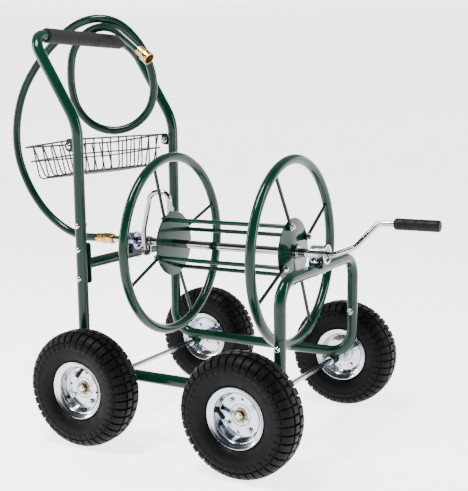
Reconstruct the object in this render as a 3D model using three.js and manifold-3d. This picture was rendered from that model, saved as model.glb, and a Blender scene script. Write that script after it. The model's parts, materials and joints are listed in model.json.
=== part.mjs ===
// Garden hose reel cart: a four-wheeled tube frame that carries a crank reel, a wire basket and a hose.
// Millimetres. +X points forward to the crank end, +Y to the left side, +Z up. The ground is z = 0, and the
// origin is on the ground under the middle of the cart.

import * as THREE from "three";
import { mergeVertices } from "three/addons/utils/BufferGeometryUtils.js";
import Module from "manifold-3d";

// ---- Driving dimensions ----

const GAP = 0.3; // clearance between touching pieces
const SECTION_SIDES = 10; // sides of a bent tube's section

// frame
const TUBE_R = 12.7; // main tube, 25.4 mm outside
const SPIGOT_R = 10.9; // reduced end that slides into the tube below it
const SPIGOT_LENGTH = 42;
const FRAME_Y = 195; // centre plane to the side frames
const RAIL_Z = 150;
const UPRIGHT_X = -293.5;
const FRONT_LEG_X = 204.5;
const FRAME_BEND_R = 57;
const REAR_JOINT_Z = 497; // top of the side frame's rear upright
const FRONT_JOINT_Z = 274; // top of its front leg
const JOINT_BOLT_DROP = 19; // joint bolts below the joint line
const SUPPORT_Z = 388.5; // axis of the hoop's bar and of the rear cross member

// push handle
const HANDLE_BEND_Z = 704;
const HANDLE_BEND_R = 110;
const HANDLE_CORNER_R = 50;
const GRIP_X = -416.5;
const GRIP_Z = 903.5;
const GRIP_R = 17.5;
const GRIP_HALF = 141.5;
const HOOP_CORNER_R = 50;

// reel
const REEL_Z = 420;
const SHAFT_R = 9.5;
const SHAFT_REAR_X = -311;
const SHAFT_FRONT_X = 224;
const RING_OUTER_R = 215;
const RING_TUBE_R = 11;
const REAR_RING_X = -171;
const FRONT_RING_X = 142;
const SPOKE_R = 4;
const STUD_ANGLE = 24.7; // degrees from +Y towards +Z
const SPOKE_LEAN = 2.1; // how far a spoke's outer end is turned on from its stud, the other way at the rear
const DISC_R = 76;
const DISC_T = 3;
const DISC_SETBACK = 0.6; // hub disc's middle, inboard of the ring's plane
const TIE_PITCH_R = 65;
const TIE_R = 5;
const STUD_R = 3;
const STUD_HOLE_R = 3.3;

// bearing blocks
const BLOCK_R = 18.8;
const BLOCK_FLANGE_R = 22;
const BLOCK_HALF = 20;
const BLOCK_BORE_R = 9.9;

// crank, in a plane turned towards +Y about the shaft's axis
const CRANK_PLANE = 30; // degrees
const CRANK_R = 6.25;
const CRANK_THROW = 80;
const CRANK_GRIP_X = 360;
const CRANK_GRIP_LENGTH = 97.9;
const CRANK_GRIP_R = 12.6;

// wheels
const TYRE_R = 130;
const WHEEL_Y = 270.5;
const REAR_AXLE_X = -238;
const FRONT_AXLE_X = 155.5;
const AXLE_R = 6.35;
const AXLE_HALF = 285;
const HUB_INNER = 38; // hub's ends, from the wheel's middle plane
const HUB_OUTER = 3.4;
const HUB_R = 16;
const AXLE_WASHER_R = 14.8;

// basket, a tray of wire that narrows downwards; the rear rim hangs lower than the front one
const BASKET_FRONT_X = -312;
const BASKET_LENGTH = 155; // front rim to rear rim
const BASKET_HALF_Y = 176;
const BASKET_RIM_Z = 670;
const BASKET_DEPTH = 75;
const BASKET_REAR_DROP = 21;
const BASKET_REAR_SLANT = 17; // how far the rear wall leans in over its depth
const BASKET_END_SLANT = 24; // the same for the end walls
const BASKET_WIRE_R = 1.8;
const LUG_X = -317; // hanging lugs behind the handle's uprights
const LUG_Z = 655;
const LUG_T = 3;

// hose and its fittings
const HOSE_R = 10;
const HOSE_START_X = -396.5;

// Route of the leader hose: straight back out of the inlet, up behind the basket in one big arc, over the
// push bar, round one hanging loop, over the bar again and down in front of it.
const HOSE_ROUTE = [
  [-396.5, 0, 420],
  [-440, 0, 420.5],
  [-493, -2, 436],
  [-552, -7, 478],
  [-600, -12, 542],
  [-630, -15, 622],
  [-635, -10, 702],
  [-617, 0, 782],
  [-578, 14, 850],
  [-525, 28, 906],
  [-466, 42, 945],
  [-415, 58, 955.5],
  [-373, 82, 943],
  [-336, 110, 899],
  [-314, 127, 843],
  [-307, 132, 784],
  [-319, 125, 733],
  [-351, 106, 696],
  [-395, 81, 682],
  [-440, 57, 696],
  [-472, 40, 733],
  [-486, 33, 785],
  [-487, 34, 847],
  [-481, 38, 879],
  [-461.5, 44.5, 910],
  [-430, 50.5, 929.5],
  [-393, 54, 934],
  [-357, 53.5, 922.5],
  [-324, 51, 899.5],
  [-292, 49, 875.5],
];

// ---- Shape helpers ----

const wasm = await Module();
wasm.setup();

const radians = THREE.MathUtils.degToRad;

// A closed three.js geometry as a manifold-3d solid.
function solid(geometry) {
  const bare = geometry.clone();
  bare.deleteAttribute("normal");
  bare.deleteAttribute("uv");
  const merged = mergeVertices(bare, 1e-4);
  return new wasm.Manifold(
    new wasm.Mesh({
      numProp: 3,
      vertProperties: new Float32Array(merged.attributes.position.array),
      triVerts: new Uint32Array(merged.index.array),
    }),
  );
}

// A manifold-3d solid as a three.js geometry.
function geometryOf(body) {
  const mesh = body.getMesh();
  const geometry = new THREE.BufferGeometry();
  geometry.setAttribute("position", new THREE.BufferAttribute(mesh.vertProperties, 3));
  geometry.setIndex(new THREE.BufferAttribute(mesh.triVerts, 1));
  geometry.computeVertexNormals();
  return geometry;
}

// Turns a geometry whose axis is Y so that its axis is the one named, then moves it.
function placed(geometry, axis, at) {
  if (axis === "x") geometry.rotateZ(-Math.PI / 2);
  if (axis === "z") geometry.rotateX(Math.PI / 2);
  return geometry.translate(...at);
}

function cylinder(radius, length, axis, at, sides = 16) {
  return solid(placed(new THREE.CylinderGeometry(radius, radius, length, sides), axis, at));
}

function box(size, at) {
  return solid(new THREE.BoxGeometry(...size).translate(...at));
}

// A turned solid from a profile of [radius, height] points, drawn upwards on the outside and back inside.
function turned(profile, axis, at, sides = 18) {
  const points = profile.map(([r, h]) => new THREE.Vector2(r, h));
  return solid(placed(new THREE.LatheGeometry(points, sides), axis, at));
}

// The same for a wheel along Y: the flats, not the corners, keep the profile's radii, and one faces down.
function turnedFlats(profile, at, sides) {
  const scale = 1 / Math.cos(Math.PI / sides);
  const points = profile.map(([r, h]) => new THREE.Vector2(r * scale, h));
  return solid(new THREE.LatheGeometry(points, sides, Math.PI / sides).translate(...at));
}

// A washer, tube or ring with square ends.
function sleeve(inner, outer, length, axis, at, sides = 16) {
  const half = length / 2;
  const profile = [
    [inner, -half],
    [outer, -half],
    [outer, half],
    [inner, half],
    [inner, -half],
  ];
  return turned(profile, axis, at, sides);
}

function union(parts) {
  return parts.reduce((whole, part) => whole.add(part));
}

// A bent tube's centre line: straight runs between corners, each corner rounded to its own radius
// (a radius of 0 leaves a mitred corner).
// Only the ends and the bends get stations, so straight runs cost no triangles.
class BentPath extends THREE.Curve {
  constructor(corners, radii, stepsPerBend) {
    super();
    const points = corners.map((p) => new THREE.Vector3(...p));
    this.stations = [];
    const last = points.length - 1;
    this.addStation(points[0], points[1].clone().sub(points[0]));
    for (let i = 1; i < last; i++) {
      this.addBend(points[i - 1], points[i], points[i + 1], radii[i - 1], stepsPerBend);
    }
    this.addStation(points[last], points[last].clone().sub(points[last - 1]));
  }

  addStation(point, direction) {
    this.stations.push({ point: point.clone(), tangent: direction.clone().normalize() });
  }

  addBend(before, corner, after, radius, steps) {
    const inward = corner.clone().sub(before).normalize();
    const outward = after.clone().sub(corner).normalize();
    if (radius === 0) {
      this.addStation(corner, inward.add(outward));
      return;
    }
    const turn = inward.angleTo(outward);
    const setback = radius * Math.tan(turn / 2);
    const start = corner.clone().addScaledVector(inward, -setback);
    const side = outward.clone().addScaledVector(inward, -outward.dot(inward)).normalize();
    for (let k = 0; k <= steps; k++) {
      const angle = (turn * k) / steps;
      const point = start
        .clone()
        .addScaledVector(inward, radius * Math.sin(angle))
        .addScaledVector(side, radius * (1 - Math.cos(angle)));
      const tangent = inward
        .clone()
        .multiplyScalar(Math.cos(angle))
        .addScaledVector(side, Math.sin(angle));
      this.addStation(point, tangent);
    }
  }

  get steps() {
    return this.stations.length - 1;
  }

  station(u) {
    return this.stations[Math.round(u * this.steps)];
  }

  getPointAt(u, target = new THREE.Vector3()) {
    return target.copy(this.station(u).point);
  }

  getTangentAt(u, target = new THREE.Vector3()) {
    return target.copy(this.station(u).tangent);
  }
}

function roundSection(radius, sides) {
  const corners = [];
  for (let i = 0; i < sides; i++) {
    const angle = (2 * Math.PI * i) / sides;
    corners.push(new THREE.Vector2(radius * Math.cos(angle), radius * Math.sin(angle)));
  }
  return new THREE.Shape(corners);
}

function extruded(path, steps, radius, sides) {
  const settings = { steps, bevelEnabled: false, extrudePath: path };
  return solid(new THREE.ExtrudeGeometry(roundSection(radius, sides), settings));
}

function bentRod(corners, radii, radius, stepsPerBend = 5, sides = SECTION_SIDES) {
  const path = new BentPath(corners, radii, stepsPerBend);
  return extruded(path, path.steps, radius, sides);
}

// ---- Finishes ----

function finish(color, roughness, metalness) {
  return { color, roughness, metalness };
}

const GREEN_PAINT = finish(0x14503a, 0.25, 0.0);
const DARK_WIRE = finish(0x1a2a24, 0.4, 0.2);
const ZINC = finish(0xc9ccd0, 0.28, 1.0);
const YELLOW_ZINC = finish(0xb9a76a, 0.35, 1.0);
const CHROME = finish(0xd8dadd, 0.1, 1.0);
const BRASS = finish(0xc9a24e, 0.3, 1.0);
const TYRE_RUBBER = finish(0x1b1b1c, 0.85, 0.0);
const FOAM = finish(0x3a393c, 0.95, 0.0);
const GRIP_RUBBER = finish(0x202022, 0.7, 0.0);
const HOSE_VINYL = finish(0x15352a, 0.4, 0.0);

const cart = new THREE.Group();

function addPiece(name, body, look) {
  const mesh = new THREE.Mesh(geometryOf(body), new THREE.MeshStandardMaterial(look));
  mesh.name = name;
  cart.add(mesh);
}

// ---- Fasteners ----

const BOLT_R = 3;
const BOLT_HOLE_R = 3.3;

// A through bolt along Y: round head on its outer side, shank, and nut on its inner side.
function throughBolt(x, z, outerY, innerY) {
  const outward = Math.sign(outerY - innerY);
  const head = cylinder(6.5, 4.5, "y", [x, outerY + outward * 2.55, z], 12);
  const nut = cylinder(6.2, 5, "y", [x, innerY - outward * 2.8, z], 6);
  const middle = (outerY + innerY) / 2;
  const shank = cylinder(BOLT_R, Math.abs(outerY - innerY) + 4, "y", [x, middle, z], 8);
  return union([head, shank, nut]);
}

function boltHole(x, z, y, length) {
  return cylinder(BOLT_HOLE_R, length, "y", [x, y, z], 8);
}

// ---- Frame ----

const REAR_BOLT_Z = REAR_JOINT_Z - JOINT_BOLT_DROP;
const FRONT_BOLT_Z = FRONT_JOINT_Z - JOINT_BOLT_DROP;
const CROSS_BOLT_Z = [SUPPORT_Z - 31, SUPPORT_Z + 35];
const CROSS_PLATE_T = 4;
const SOCKET_R = SPIGOT_R + GAP;
const AXLE_Z = TYRE_R;

// Side frame on one side: rear upright, lower rail and front leg in one bent tube, with two axle brackets.
function sideFrame(y) {
  const corners = [
    [UPRIGHT_X, y, REAR_JOINT_Z],
    [UPRIGHT_X, y, RAIL_Z],
    [FRONT_LEG_X, y, RAIL_Z],
    [FRONT_LEG_X, y, FRONT_JOINT_Z],
  ];
  let frame = bentRod(corners, [FRAME_BEND_R, FRAME_BEND_R], TUBE_R);
  for (const x of [REAR_AXLE_X, FRONT_AXLE_X]) {
    frame = frame.add(axleBracket(x, y));
  }
  const socketDepth = SPIGOT_LENGTH + 3;
  const sockets = [
    [UPRIGHT_X, REAR_JOINT_Z, REAR_BOLT_Z],
    [FRONT_LEG_X, FRONT_JOINT_Z, FRONT_BOLT_Z],
  ];
  for (const [x, top, boltZ] of sockets) {
    frame = frame.subtract(cylinder(SOCKET_R, socketDepth * 2, "z", [x, y, top], 12));
    frame = frame.subtract(boltHole(x, boltZ, y, 40));
  }
  for (const z of CROSS_BOLT_Z) {
    frame = frame.subtract(boltHole(UPRIGHT_X, z, y, 40));
  }
  for (const x of [REAR_AXLE_X, FRONT_AXLE_X]) {
    frame = frame.subtract(cylinder(AXLE_R + GAP, 60, "y", [x, y, AXLE_Z]));
  }
  return frame;
}

// Welded bracket under the rail: a block as wide as the tube, round at the bottom, bored for the axle.
function axleBracket(x, y) {
  const width = 26;
  const length = 20;
  const strap = box([width, length, RAIL_Z - AXLE_Z], [x, y, (RAIL_Z + AXLE_Z) / 2]);
  const eye = cylinder(width / 2, length, "y", [x, y, AXLE_Z], 16);
  return union([strap, eye]);
}

function handleLoop() {
  const bottom = REAR_JOINT_Z + GAP;
  const corners = [
    [UPRIGHT_X, -FRAME_Y, bottom],
    [UPRIGHT_X, -FRAME_Y, HANDLE_BEND_Z],
    [GRIP_X, -FRAME_Y, GRIP_Z],
    [GRIP_X, FRAME_Y, GRIP_Z],
    [UPRIGHT_X, FRAME_Y, HANDLE_BEND_Z],
    [UPRIGHT_X, FRAME_Y, bottom],
  ];
  const radii = [HANDLE_BEND_R, HANDLE_CORNER_R, HANDLE_CORNER_R, HANDLE_BEND_R];
  let loop = bentRod(corners, radii, TUBE_R);
  for (const y of [-FRAME_Y, FRAME_Y]) {
    loop = loop.add(spigot(UPRIGHT_X, y, bottom)).add(basketLug(y));
    loop = loop.subtract(boltHole(UPRIGHT_X, REAR_BOLT_Z, y, 40));
    loop = loop.subtract(boltHole(LUG_X, LUG_Z, y, 12));
  }
  return loop;
}

// Lug welded to the back of the upright: a plate in the tube's middle plane, round at its rear end.
function basketLug(y) {
  const front = UPRIGHT_X - TUBE_R + 3;
  const plate = box([front - LUG_X, LUG_T, 26], [(front + LUG_X) / 2, y, LUG_Z]);
  return plate.add(cylinder(12, LUG_T, "y", [LUG_X, y, LUG_Z], 16));
}

// Reduced tube end below a joint line; its top runs a little way up into the tube it belongs to.
function spigot(x, y, top) {
  const overlap = 4;
  const middle = top + (overlap - SPIGOT_LENGTH) / 2;
  return cylinder(SPIGOT_R, SPIGOT_LENGTH + overlap, "z", [x, y, middle], 12);
}

function frontHoop() {
  const bottom = FRONT_JOINT_Z + GAP;
  const corners = [
    [FRONT_LEG_X, -FRAME_Y, bottom],
    [FRONT_LEG_X, -FRAME_Y, SUPPORT_Z],
    [FRONT_LEG_X, FRAME_Y, SUPPORT_Z],
    [FRONT_LEG_X, FRAME_Y, bottom],
  ];
  let hoop = bentRod(corners, [HOOP_CORNER_R, HOOP_CORNER_R], TUBE_R);
  for (const y of [-FRAME_Y, FRAME_Y]) {
    hoop = hoop.add(spigot(FRONT_LEG_X, y, bottom));
    hoop = hoop.subtract(boltHole(FRONT_LEG_X, FRONT_BOLT_Z, y, 40));
  }
  return hoop;
}

// Rear cross member: a straight tube between two upright end plates that bolt to the side frames.
function rearCrossMember() {
  const plateY = FRAME_Y - TUBE_R - GAP - CROSS_PLATE_T / 2;
  const plateSize = [28, CROSS_PLATE_T, 93];
  let member = cylinder(TUBE_R, plateY * 2, "y", [UPRIGHT_X, 0, SUPPORT_Z], SECTION_SIDES);
  for (const side of [-1, 1]) {
    member = member.add(box(plateSize, [UPRIGHT_X, side * plateY, SUPPORT_Z + 3]));
  }
  for (const z of CROSS_BOLT_Z) {
    for (const side of [-1, 1]) {
      member = member.subtract(boltHole(UPRIGHT_X, z, side * plateY, 20));
    }
  }
  return member;
}

// Bearing block that sits on a support tube: its two flanges straddle the tube.
function bearingBlock(x) {
  const flangeT = BLOCK_HALF - TUBE_R - GAP;
  const flangeX = BLOCK_HALF - flangeT / 2;
  const parts = [cylinder(BLOCK_R, BLOCK_HALF * 2, "x", [x, 0, REEL_Z], 16)];
  for (const side of [-1, 1]) {
    parts.push(cylinder(BLOCK_FLANGE_R, flangeT, "x", [x + side * flangeX, 0, REEL_Z], 16));
  }
  const seat = cylinder(TUBE_R + GAP, 80, "y", [x, 0, SUPPORT_Z], SECTION_SIDES);
  const bore = cylinder(BLOCK_BORE_R, BLOCK_HALF * 3, "x", [x, 0, REEL_Z], 16);
  return union(parts).subtract(seat).subtract(bore);
}

for (const [side, y] of [
  ["right", -FRAME_Y],
  ["left", FRAME_Y],
]) {
  const outward = Math.sign(y);
  const outerY = y + outward * (TUBE_R + GAP);
  const innerY = y - outward * (TUBE_R + GAP);
  const plateInnerY = innerY - outward * (CROSS_PLATE_T + GAP);
  const lugFace = outward * (LUG_T / 2);
  addPiece(`${side}_side_frame`, sideFrame(y), GREEN_PAINT);
  const bolts = [
    ["handle_joint_bolt", UPRIGHT_X, REAR_BOLT_Z, outerY, innerY],
    ["hoop_joint_bolt", FRONT_LEG_X, FRONT_BOLT_Z, outerY, innerY],
    ["cross_member_lower_bolt", UPRIGHT_X, CROSS_BOLT_Z[0], outerY, plateInnerY],
    ["cross_member_upper_bolt", UPRIGHT_X, CROSS_BOLT_Z[1], outerY, plateInnerY],
    ["basket_bolt", LUG_X, LUG_Z, y + lugFace, y - lugFace - outward * (GAP + LUG_T)],
  ];
  for (const [name, x, z, headY, nutY] of bolts) {
    addPiece(`${side}_${name}`, throughBolt(x, z, headY, nutY), ZINC);
  }
}
addPiece("handle_loop", handleLoop(), GREEN_PAINT);
addPiece("front_hoop", frontHoop(), GREEN_PAINT);
addPiece("rear_cross_member", rearCrossMember(), GREEN_PAINT);
addPiece("front_bearing_block", bearingBlock(FRONT_LEG_X), ZINC);
addPiece("rear_swivel_bearing", bearingBlock(UPRIGHT_X), ZINC);
addPiece(
  "handle_foam_grip",
  sleeve(TUBE_R + GAP, GRIP_R, GRIP_HALF * 2, "y", [GRIP_X, 0, GRIP_Z], 16),
  FOAM,
);

// ---- Wire basket ----

// A point of the basket's walls: how far back (0 to 1), how far down (0 to 1), and its own y.
function basketPoint(back, down, y) {
  const length = BASKET_LENGTH - BASKET_REAR_SLANT * down;
  return [
    BASKET_FRONT_X - length * back,
    y,
    BASKET_RIM_Z - BASKET_REAR_DROP * back - BASKET_DEPTH * down,
  ];
}

function basketHalfY(down) {
  return BASKET_HALF_Y - BASKET_END_SLANT * down;
}

function basketWire(corners, bendR) {
  const radii = corners.slice(1, -1).map(() => bendR);
  return bentRod(corners, radii, BASKET_WIRE_R, 2, 4);
}

// Closed rail round all four walls at one depth.
function basketRail(down) {
  const half = basketHalfY(down);
  const ends = [
    [0, -half],
    [0, half],
    [1, half],
    [1, -half],
  ].map(([back, y]) => new THREE.Vector3(...basketPoint(back, down, y)));
  return ends.map((start, i) => {
    const end = ends[(i + 1) % ends.length];
    const past = end.clone().sub(start).setLength(BASKET_WIRE_R);
    return basketWire([start.clone().sub(past).toArray(), end.clone().add(past).toArray()], 0);
  });
}

function wireBasket() {
  const parts = [...basketRail(0), ...basketRail(0.44)];
  for (let i = -4.5; i <= 4.5; i++) {
    const y = i * 32;
    const corners = [
      [0, 0],
      [0, 1],
      [1, 1],
      [1, 0],
    ].map(([back, down]) => basketPoint(back, down, y));
    parts.push(basketWire(corners, 14));
  }
  for (const back of [0.1, 0.28, 0.46, 0.64, 0.82]) {
    const floor = basketHalfY(1);
    const corners = [
      basketPoint(back, 0, -BASKET_HALF_Y),
      basketPoint(back, 1 - (1.4 * BASKET_WIRE_R) / BASKET_DEPTH, -floor),
      basketPoint(back, 1 - (1.4 * BASKET_WIRE_R) / BASKET_DEPTH, floor),
      basketPoint(back, 0, BASKET_HALF_Y),
    ];
    parts.push(basketWire(corners, 14));
  }
  return union([...parts, basketEye(-1), basketEye(1)]);
}

// Eye plate that bolts to the inner face of a lug, welded to the end of the front rim.
function basketEye(side) {
  const y = side * (FRAME_Y - LUG_T - GAP);
  const rim = basketPoint(0, 0, 0);
  const plate = box([18, LUG_T, 26], [LUG_X, y, LUG_Z + 4]);
  const link = cylinder(BASKET_WIRE_R, 18, "y", [rim[0], side * (BASKET_HALF_Y + 7), rim[2] - 1], 6);
  return union([plate, link]).subtract(boltHole(LUG_X, LUG_Z, y, 8));
}

addPiece("wire_basket", wireBasket(), DARK_WIRE);

// ---- Axles and wheels ----

// Tyre section as [radius, distance from the wheel's middle plane]: a C that opens inwards onto the rim.
const TYRE_SECTION = [
  [57, -19.5],
  [65, -25],
  [101, -42],
  [121, -36],
  [TYRE_R, -14],
  [TYRE_R, 14],
  [121, 36],
  [101, 42],
  [65, 25],
  [57, 19.5],
  [60, 14],
  [104, 28],
  [104, -28],
  [60, -14],
  [57, -19.5],
];

// Half of the split rim, on the +h side: flange, bead seat, barrel and flat web.
const RIM_SECTION = [
  [HUB_R + 1, GAP / 2],
  [49, GAP / 2],
  [52.5, 20.5],
  [63.8, 26],
  [62.6, 28.6],
  [49.8, 22.6],
  [46, 2.8],
  [HUB_R + 1, 2.8],
  [HUB_R + 1, GAP / 2],
];
const WHEEL_SIDES = 24;
const HUB_BORE_R = AXLE_R + 0.5;

function mirroredSection(section) {
  return section.map(([r, h]) => [r, -h]).reverse();
}

// Hub: a steel tube through both rim halves, long towards the cart, bored to turn on the axle.
function wheelHub(at, side) {
  const [low, high] = side > 0 ? [-HUB_INNER, HUB_OUTER] : [-HUB_OUTER, HUB_INNER];
  const profile = [
    [HUB_BORE_R, low],
    [HUB_R, low],
    [HUB_R, high],
    [HUB_BORE_R, high],
    [HUB_BORE_R, low],
  ];
  return turned(profile, "y", at, 12);
}

// Washer and nut at the end of an axle.
function axleNut(x, side) {
  const washerT = 2;
  const nutT = 7.5;
  const face = WHEEL_Y + HUB_OUTER + GAP;
  const washer = cylinder(AXLE_WASHER_R, washerT, "y", [x, side * (face + washerT / 2), AXLE_Z], 16);
  const nut = cylinder(11, nutT, "y", [x, side * (face + washerT + nutT / 2), AXLE_Z], 6);
  return washer.add(nut).subtract(cylinder(AXLE_R + GAP, 60, "y", [x, side * face, AXLE_Z], 16));
}

const wheels = [
  ["rear_right", REAR_AXLE_X, -1],
  ["rear_left", REAR_AXLE_X, 1],
  ["front_right", FRONT_AXLE_X, -1],
  ["front_left", FRONT_AXLE_X, 1],
];
for (const [name, x, side] of wheels) {
  const centre = [x, side * WHEEL_Y, AXLE_Z];
  const outerSection = side > 0 ? RIM_SECTION : mirroredSection(RIM_SECTION);
  const innerSection = side > 0 ? mirroredSection(RIM_SECTION) : RIM_SECTION;
  addPiece(`${name}_tyre`, turnedFlats(TYRE_SECTION, centre, WHEEL_SIDES), TYRE_RUBBER);
  addPiece(`${name}_rim_outer`, turned(outerSection, "y", centre, 14), ZINC);
  addPiece(`${name}_rim_inner`, turned(innerSection, "y", centre, 14), ZINC);
  addPiece(`${name}_hub`, wheelHub(centre, side), ZINC);
  addPiece(`${name}_axle_nut`, axleNut(x, side), YELLOW_ZINC);
}
addPiece("rear_axle", cylinder(AXLE_R, AXLE_HALF * 2, "y", [REAR_AXLE_X, 0, AXLE_Z], 16), ZINC);
addPiece("front_axle", cylinder(AXLE_R, AXLE_HALF * 2, "y", [FRONT_AXLE_X, 0, AXLE_Z], 16), ZINC);

// ---- Reel ----

function onReel(radius, angle) {
  return [radius * Math.cos(radians(angle)), REEL_Z + radius * Math.sin(radians(angle))];
}

const studAngles = [0, 90, 180, 270].map((turn) => STUD_ANGLE + turn);
const REAR_DISC_X = REAR_RING_X + DISC_SETBACK;
const FRONT_DISC_X = FRONT_RING_X - DISC_SETBACK;

// Outboard of the hub disc by the thickness of a spoke's eye, on the side away from the tie bars.
const EYE_OFFSET = DISC_T / 2 + GAP + SPOKE_R - DISC_SETBACK;

// Ring of bent tube with four spokes welded inside it. A spoke leans outboard to the hub disc's edge, then
// lies against the disc's outer face and ends in a flat eye for a tie bar's stud.
function ringWithSpokes(x) {
  const outboard = Math.sign(x);
  const eyeX = x + outboard * EYE_OFFSET;
  const middleR = RING_OUTER_R - RING_TUBE_R;
  const torus = new THREE.TorusGeometry(middleR, RING_TUBE_R, 8, 36);
  let ring = solid(torus.rotateY(Math.PI / 2).translate(x, 0, REEL_Z));
  for (const angle of studAngles) {
    const [y0, z0] = onReel(TIE_PITCH_R, angle);
    const [y1, z1] = onReel(DISC_R + 6, angle);
    const [y2, z2] = onReel(middleR, angle + outboard * SPOKE_LEAN);
    const corners = [
      [eyeX, y0, z0],
      [eyeX, y1, z1],
      [x, y2, z2],
    ];
    ring = ring.add(bentRod(corners, [0], SPOKE_R, 1, 6));
    ring = ring.add(cylinder(8, SPOKE_R * 2, "x", [eyeX, y0, z0], 12));
  }
  for (const angle of studAngles) {
    const [y, z] = onReel(TIE_PITCH_R, angle);
    ring = ring.subtract(cylinder(STUD_HOLE_R, 20, "x", [x, y, z], 8));
  }
  return ring;
}

function hubDisc(x) {
  let disc = cylinder(DISC_R, DISC_T, "x", [x, 0, REEL_Z], 32);
  disc = disc.subtract(cylinder(SHAFT_R + GAP, 20, "x", [x, 0, REEL_Z], 16));
  for (const angle of studAngles) {
    const [y, z] = onReel(TIE_PITCH_R, angle);
    disc = disc.subtract(cylinder(STUD_HOLE_R, 20, "x", [x, y, z], 8));
  }
  return disc;
}

// Tie bar between the hub discs; the stud at each end passes through disc and spoke eye into its nut.
function tieBar(angle) {
  const [y, z] = onReel(TIE_PITCH_R, angle);
  const rearFace = REAR_DISC_X + DISC_T / 2 + GAP;
  const frontFace = FRONT_DISC_X - DISC_T / 2 - GAP;
  const nutT = 6;
  const nutOffset = EYE_OFFSET + SPOKE_R + GAP + nutT / 2;
  const rearNutX = REAR_RING_X - nutOffset;
  const frontNutX = FRONT_RING_X + nutOffset;
  const middle = (rearFace + frontFace) / 2;
  return union([
    cylinder(TIE_R, frontFace - rearFace, "x", [middle, y, z], 10),
    cylinder(STUD_R, frontNutX - rearNutX, "x", [(frontNutX + rearNutX) / 2, y, z], 8),
    cylinder(8, nutT, "x", [rearNutX, y, z], 6),
    cylinder(8, nutT, "x", [frontNutX, y, z], 6),
  ]);
}

// Shaft, drilled at its front end to take the crank.
function reelShaft() {
  const length = SHAFT_FRONT_X - SHAFT_REAR_X;
  const middle = (SHAFT_FRONT_X + SHAFT_REAR_X) / 2;
  const shaft = cylinder(SHAFT_R, length, "x", [middle, 0, REEL_Z], 16);
  return shaft.subtract(cylinder(CRANK_R + GAP, 70, "x", [SHAFT_FRONT_X, 0, REEL_Z], 12));
}

// Gooseneck: collar on the shaft, outlet, union nut, then the pipe up past the shaft and over to the disc.
const GOOSENECK_X = -241;
const GOOSENECK_PIPE_R = 6.5;
const GOOSENECK_TOP = 120; // above the shaft's axis
const GOOSENECK_END = 42; // where the pipe meets the hub disc, above the axis
const GOOSENECK_NUT_DROP = 26; // the union nut, below the axis

function gooseneck() {
  const x = GOOSENECK_X;
  const besideShaft = -18.5;
  const nutZ = REEL_Z - GOOSENECK_NUT_DROP;
  const topZ = REEL_Z + GOOSENECK_TOP;
  const endZ = REEL_Z + GOOSENECK_END;
  const discFace = REAR_DISC_X - DISC_T / 2 - GAP;
  const legX = discFace - 9.5;
  const flangeT = 5;
  const corners = [
    [x, besideShaft, nutZ],
    [x - 3, besideShaft, REEL_Z + 28],
    [x + 12, -8, topZ],
    [legX, 0, topZ],
    [legX, 0, endZ],
    [discFace, 0, endZ],
  ];
  const collar = cylinder(13, 16, "x", [x, 0, REEL_Z], 16);
  const outlet = cylinder(8, 22, "z", [x, -7, nutZ + 6], 10);
  const elbow = box([16, 18, 10], [x, -11, nutZ - 1]);
  const unionNut = cylinder(10.5, 13, "z", [x, besideShaft, nutZ + 2], 6);
  const pipe = bentRod(corners, [40, 22, 20, 9], GOOSENECK_PIPE_R, 4, 8);
  const flange = cylinder(10, flangeT, "x", [discFace - flangeT / 2, 0, endZ], 12);
  const whole = union([collar, outlet, elbow, unionNut, pipe, flange]);
  return whole.subtract(cylinder(SHAFT_R + GAP, 60, "x", [x, 0, REEL_Z], 16));
}

addPiece("reel_shaft", reelShaft(), CHROME);
addPiece("rear_reel_ring", ringWithSpokes(REAR_RING_X), GREEN_PAINT);
addPiece("front_reel_ring", ringWithSpokes(FRONT_RING_X), GREEN_PAINT);
addPiece("rear_hub_disc", hubDisc(REAR_DISC_X), GREEN_PAINT);
addPiece("front_hub_disc", hubDisc(FRONT_DISC_X), GREEN_PAINT);
studAngles.forEach((angle, i) => {
  addPiece(`reel_tie_bar_${i + 1}`, tieBar(angle), GREEN_PAINT);
});
addPiece("gooseneck_pipe", gooseneck(), CHROME);

// ---- Crank ----

// A point of the crank, at a distance out from the shaft's axis in the crank's plane.
function crankPoint(x, out) {
  const angle = radians(CRANK_PLANE);
  return [x, out * Math.sin(angle), REEL_Z + out * Math.cos(angle)];
}

function crankArm() {
  const inShaft = SHAFT_FRONT_X - 28;
  const inGrip = CRANK_GRIP_X + CRANK_GRIP_LENGTH - 8;
  const corners = [
    crankPoint(inShaft, 0),
    crankPoint(238, 0),
    crankPoint(282, 20),
    crankPoint(324, CRANK_THROW),
    crankPoint(inGrip, CRANK_THROW),
  ];
  return bentRod(corners, [40, 40, 24], CRANK_R, 4, 8);
}

// Rubber grip with a blind bore and rounded ends, free to turn on the arm.
function crankGrip() {
  const bore = CRANK_R + 0.4;
  const end = CRANK_GRIP_LENGTH;
  const profile = [
    [bore, 0],
    [CRANK_GRIP_R - 1.5, 0],
    [CRANK_GRIP_R, 2],
    [CRANK_GRIP_R, end - 3],
    [CRANK_GRIP_R - 3, end],
    [0, end],
    [0, end - 6],
    [bore, end - 6],
    [bore, 0],
  ];
  return turned(profile, "x", crankPoint(CRANK_GRIP_X, CRANK_THROW), 18);
}

addPiece("crank_arm", crankArm(), CHROME);
addPiece("crank_grip", crankGrip(), GRIP_RUBBER);

// ---- Water inlet and hose ----

const INLET_PIPE_REAR_X = -360;
const INLET_NUT = { rear: -374, front: -346 };
const WATERWAY_R = 5;
const FERRULE_R = 11.5;

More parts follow.
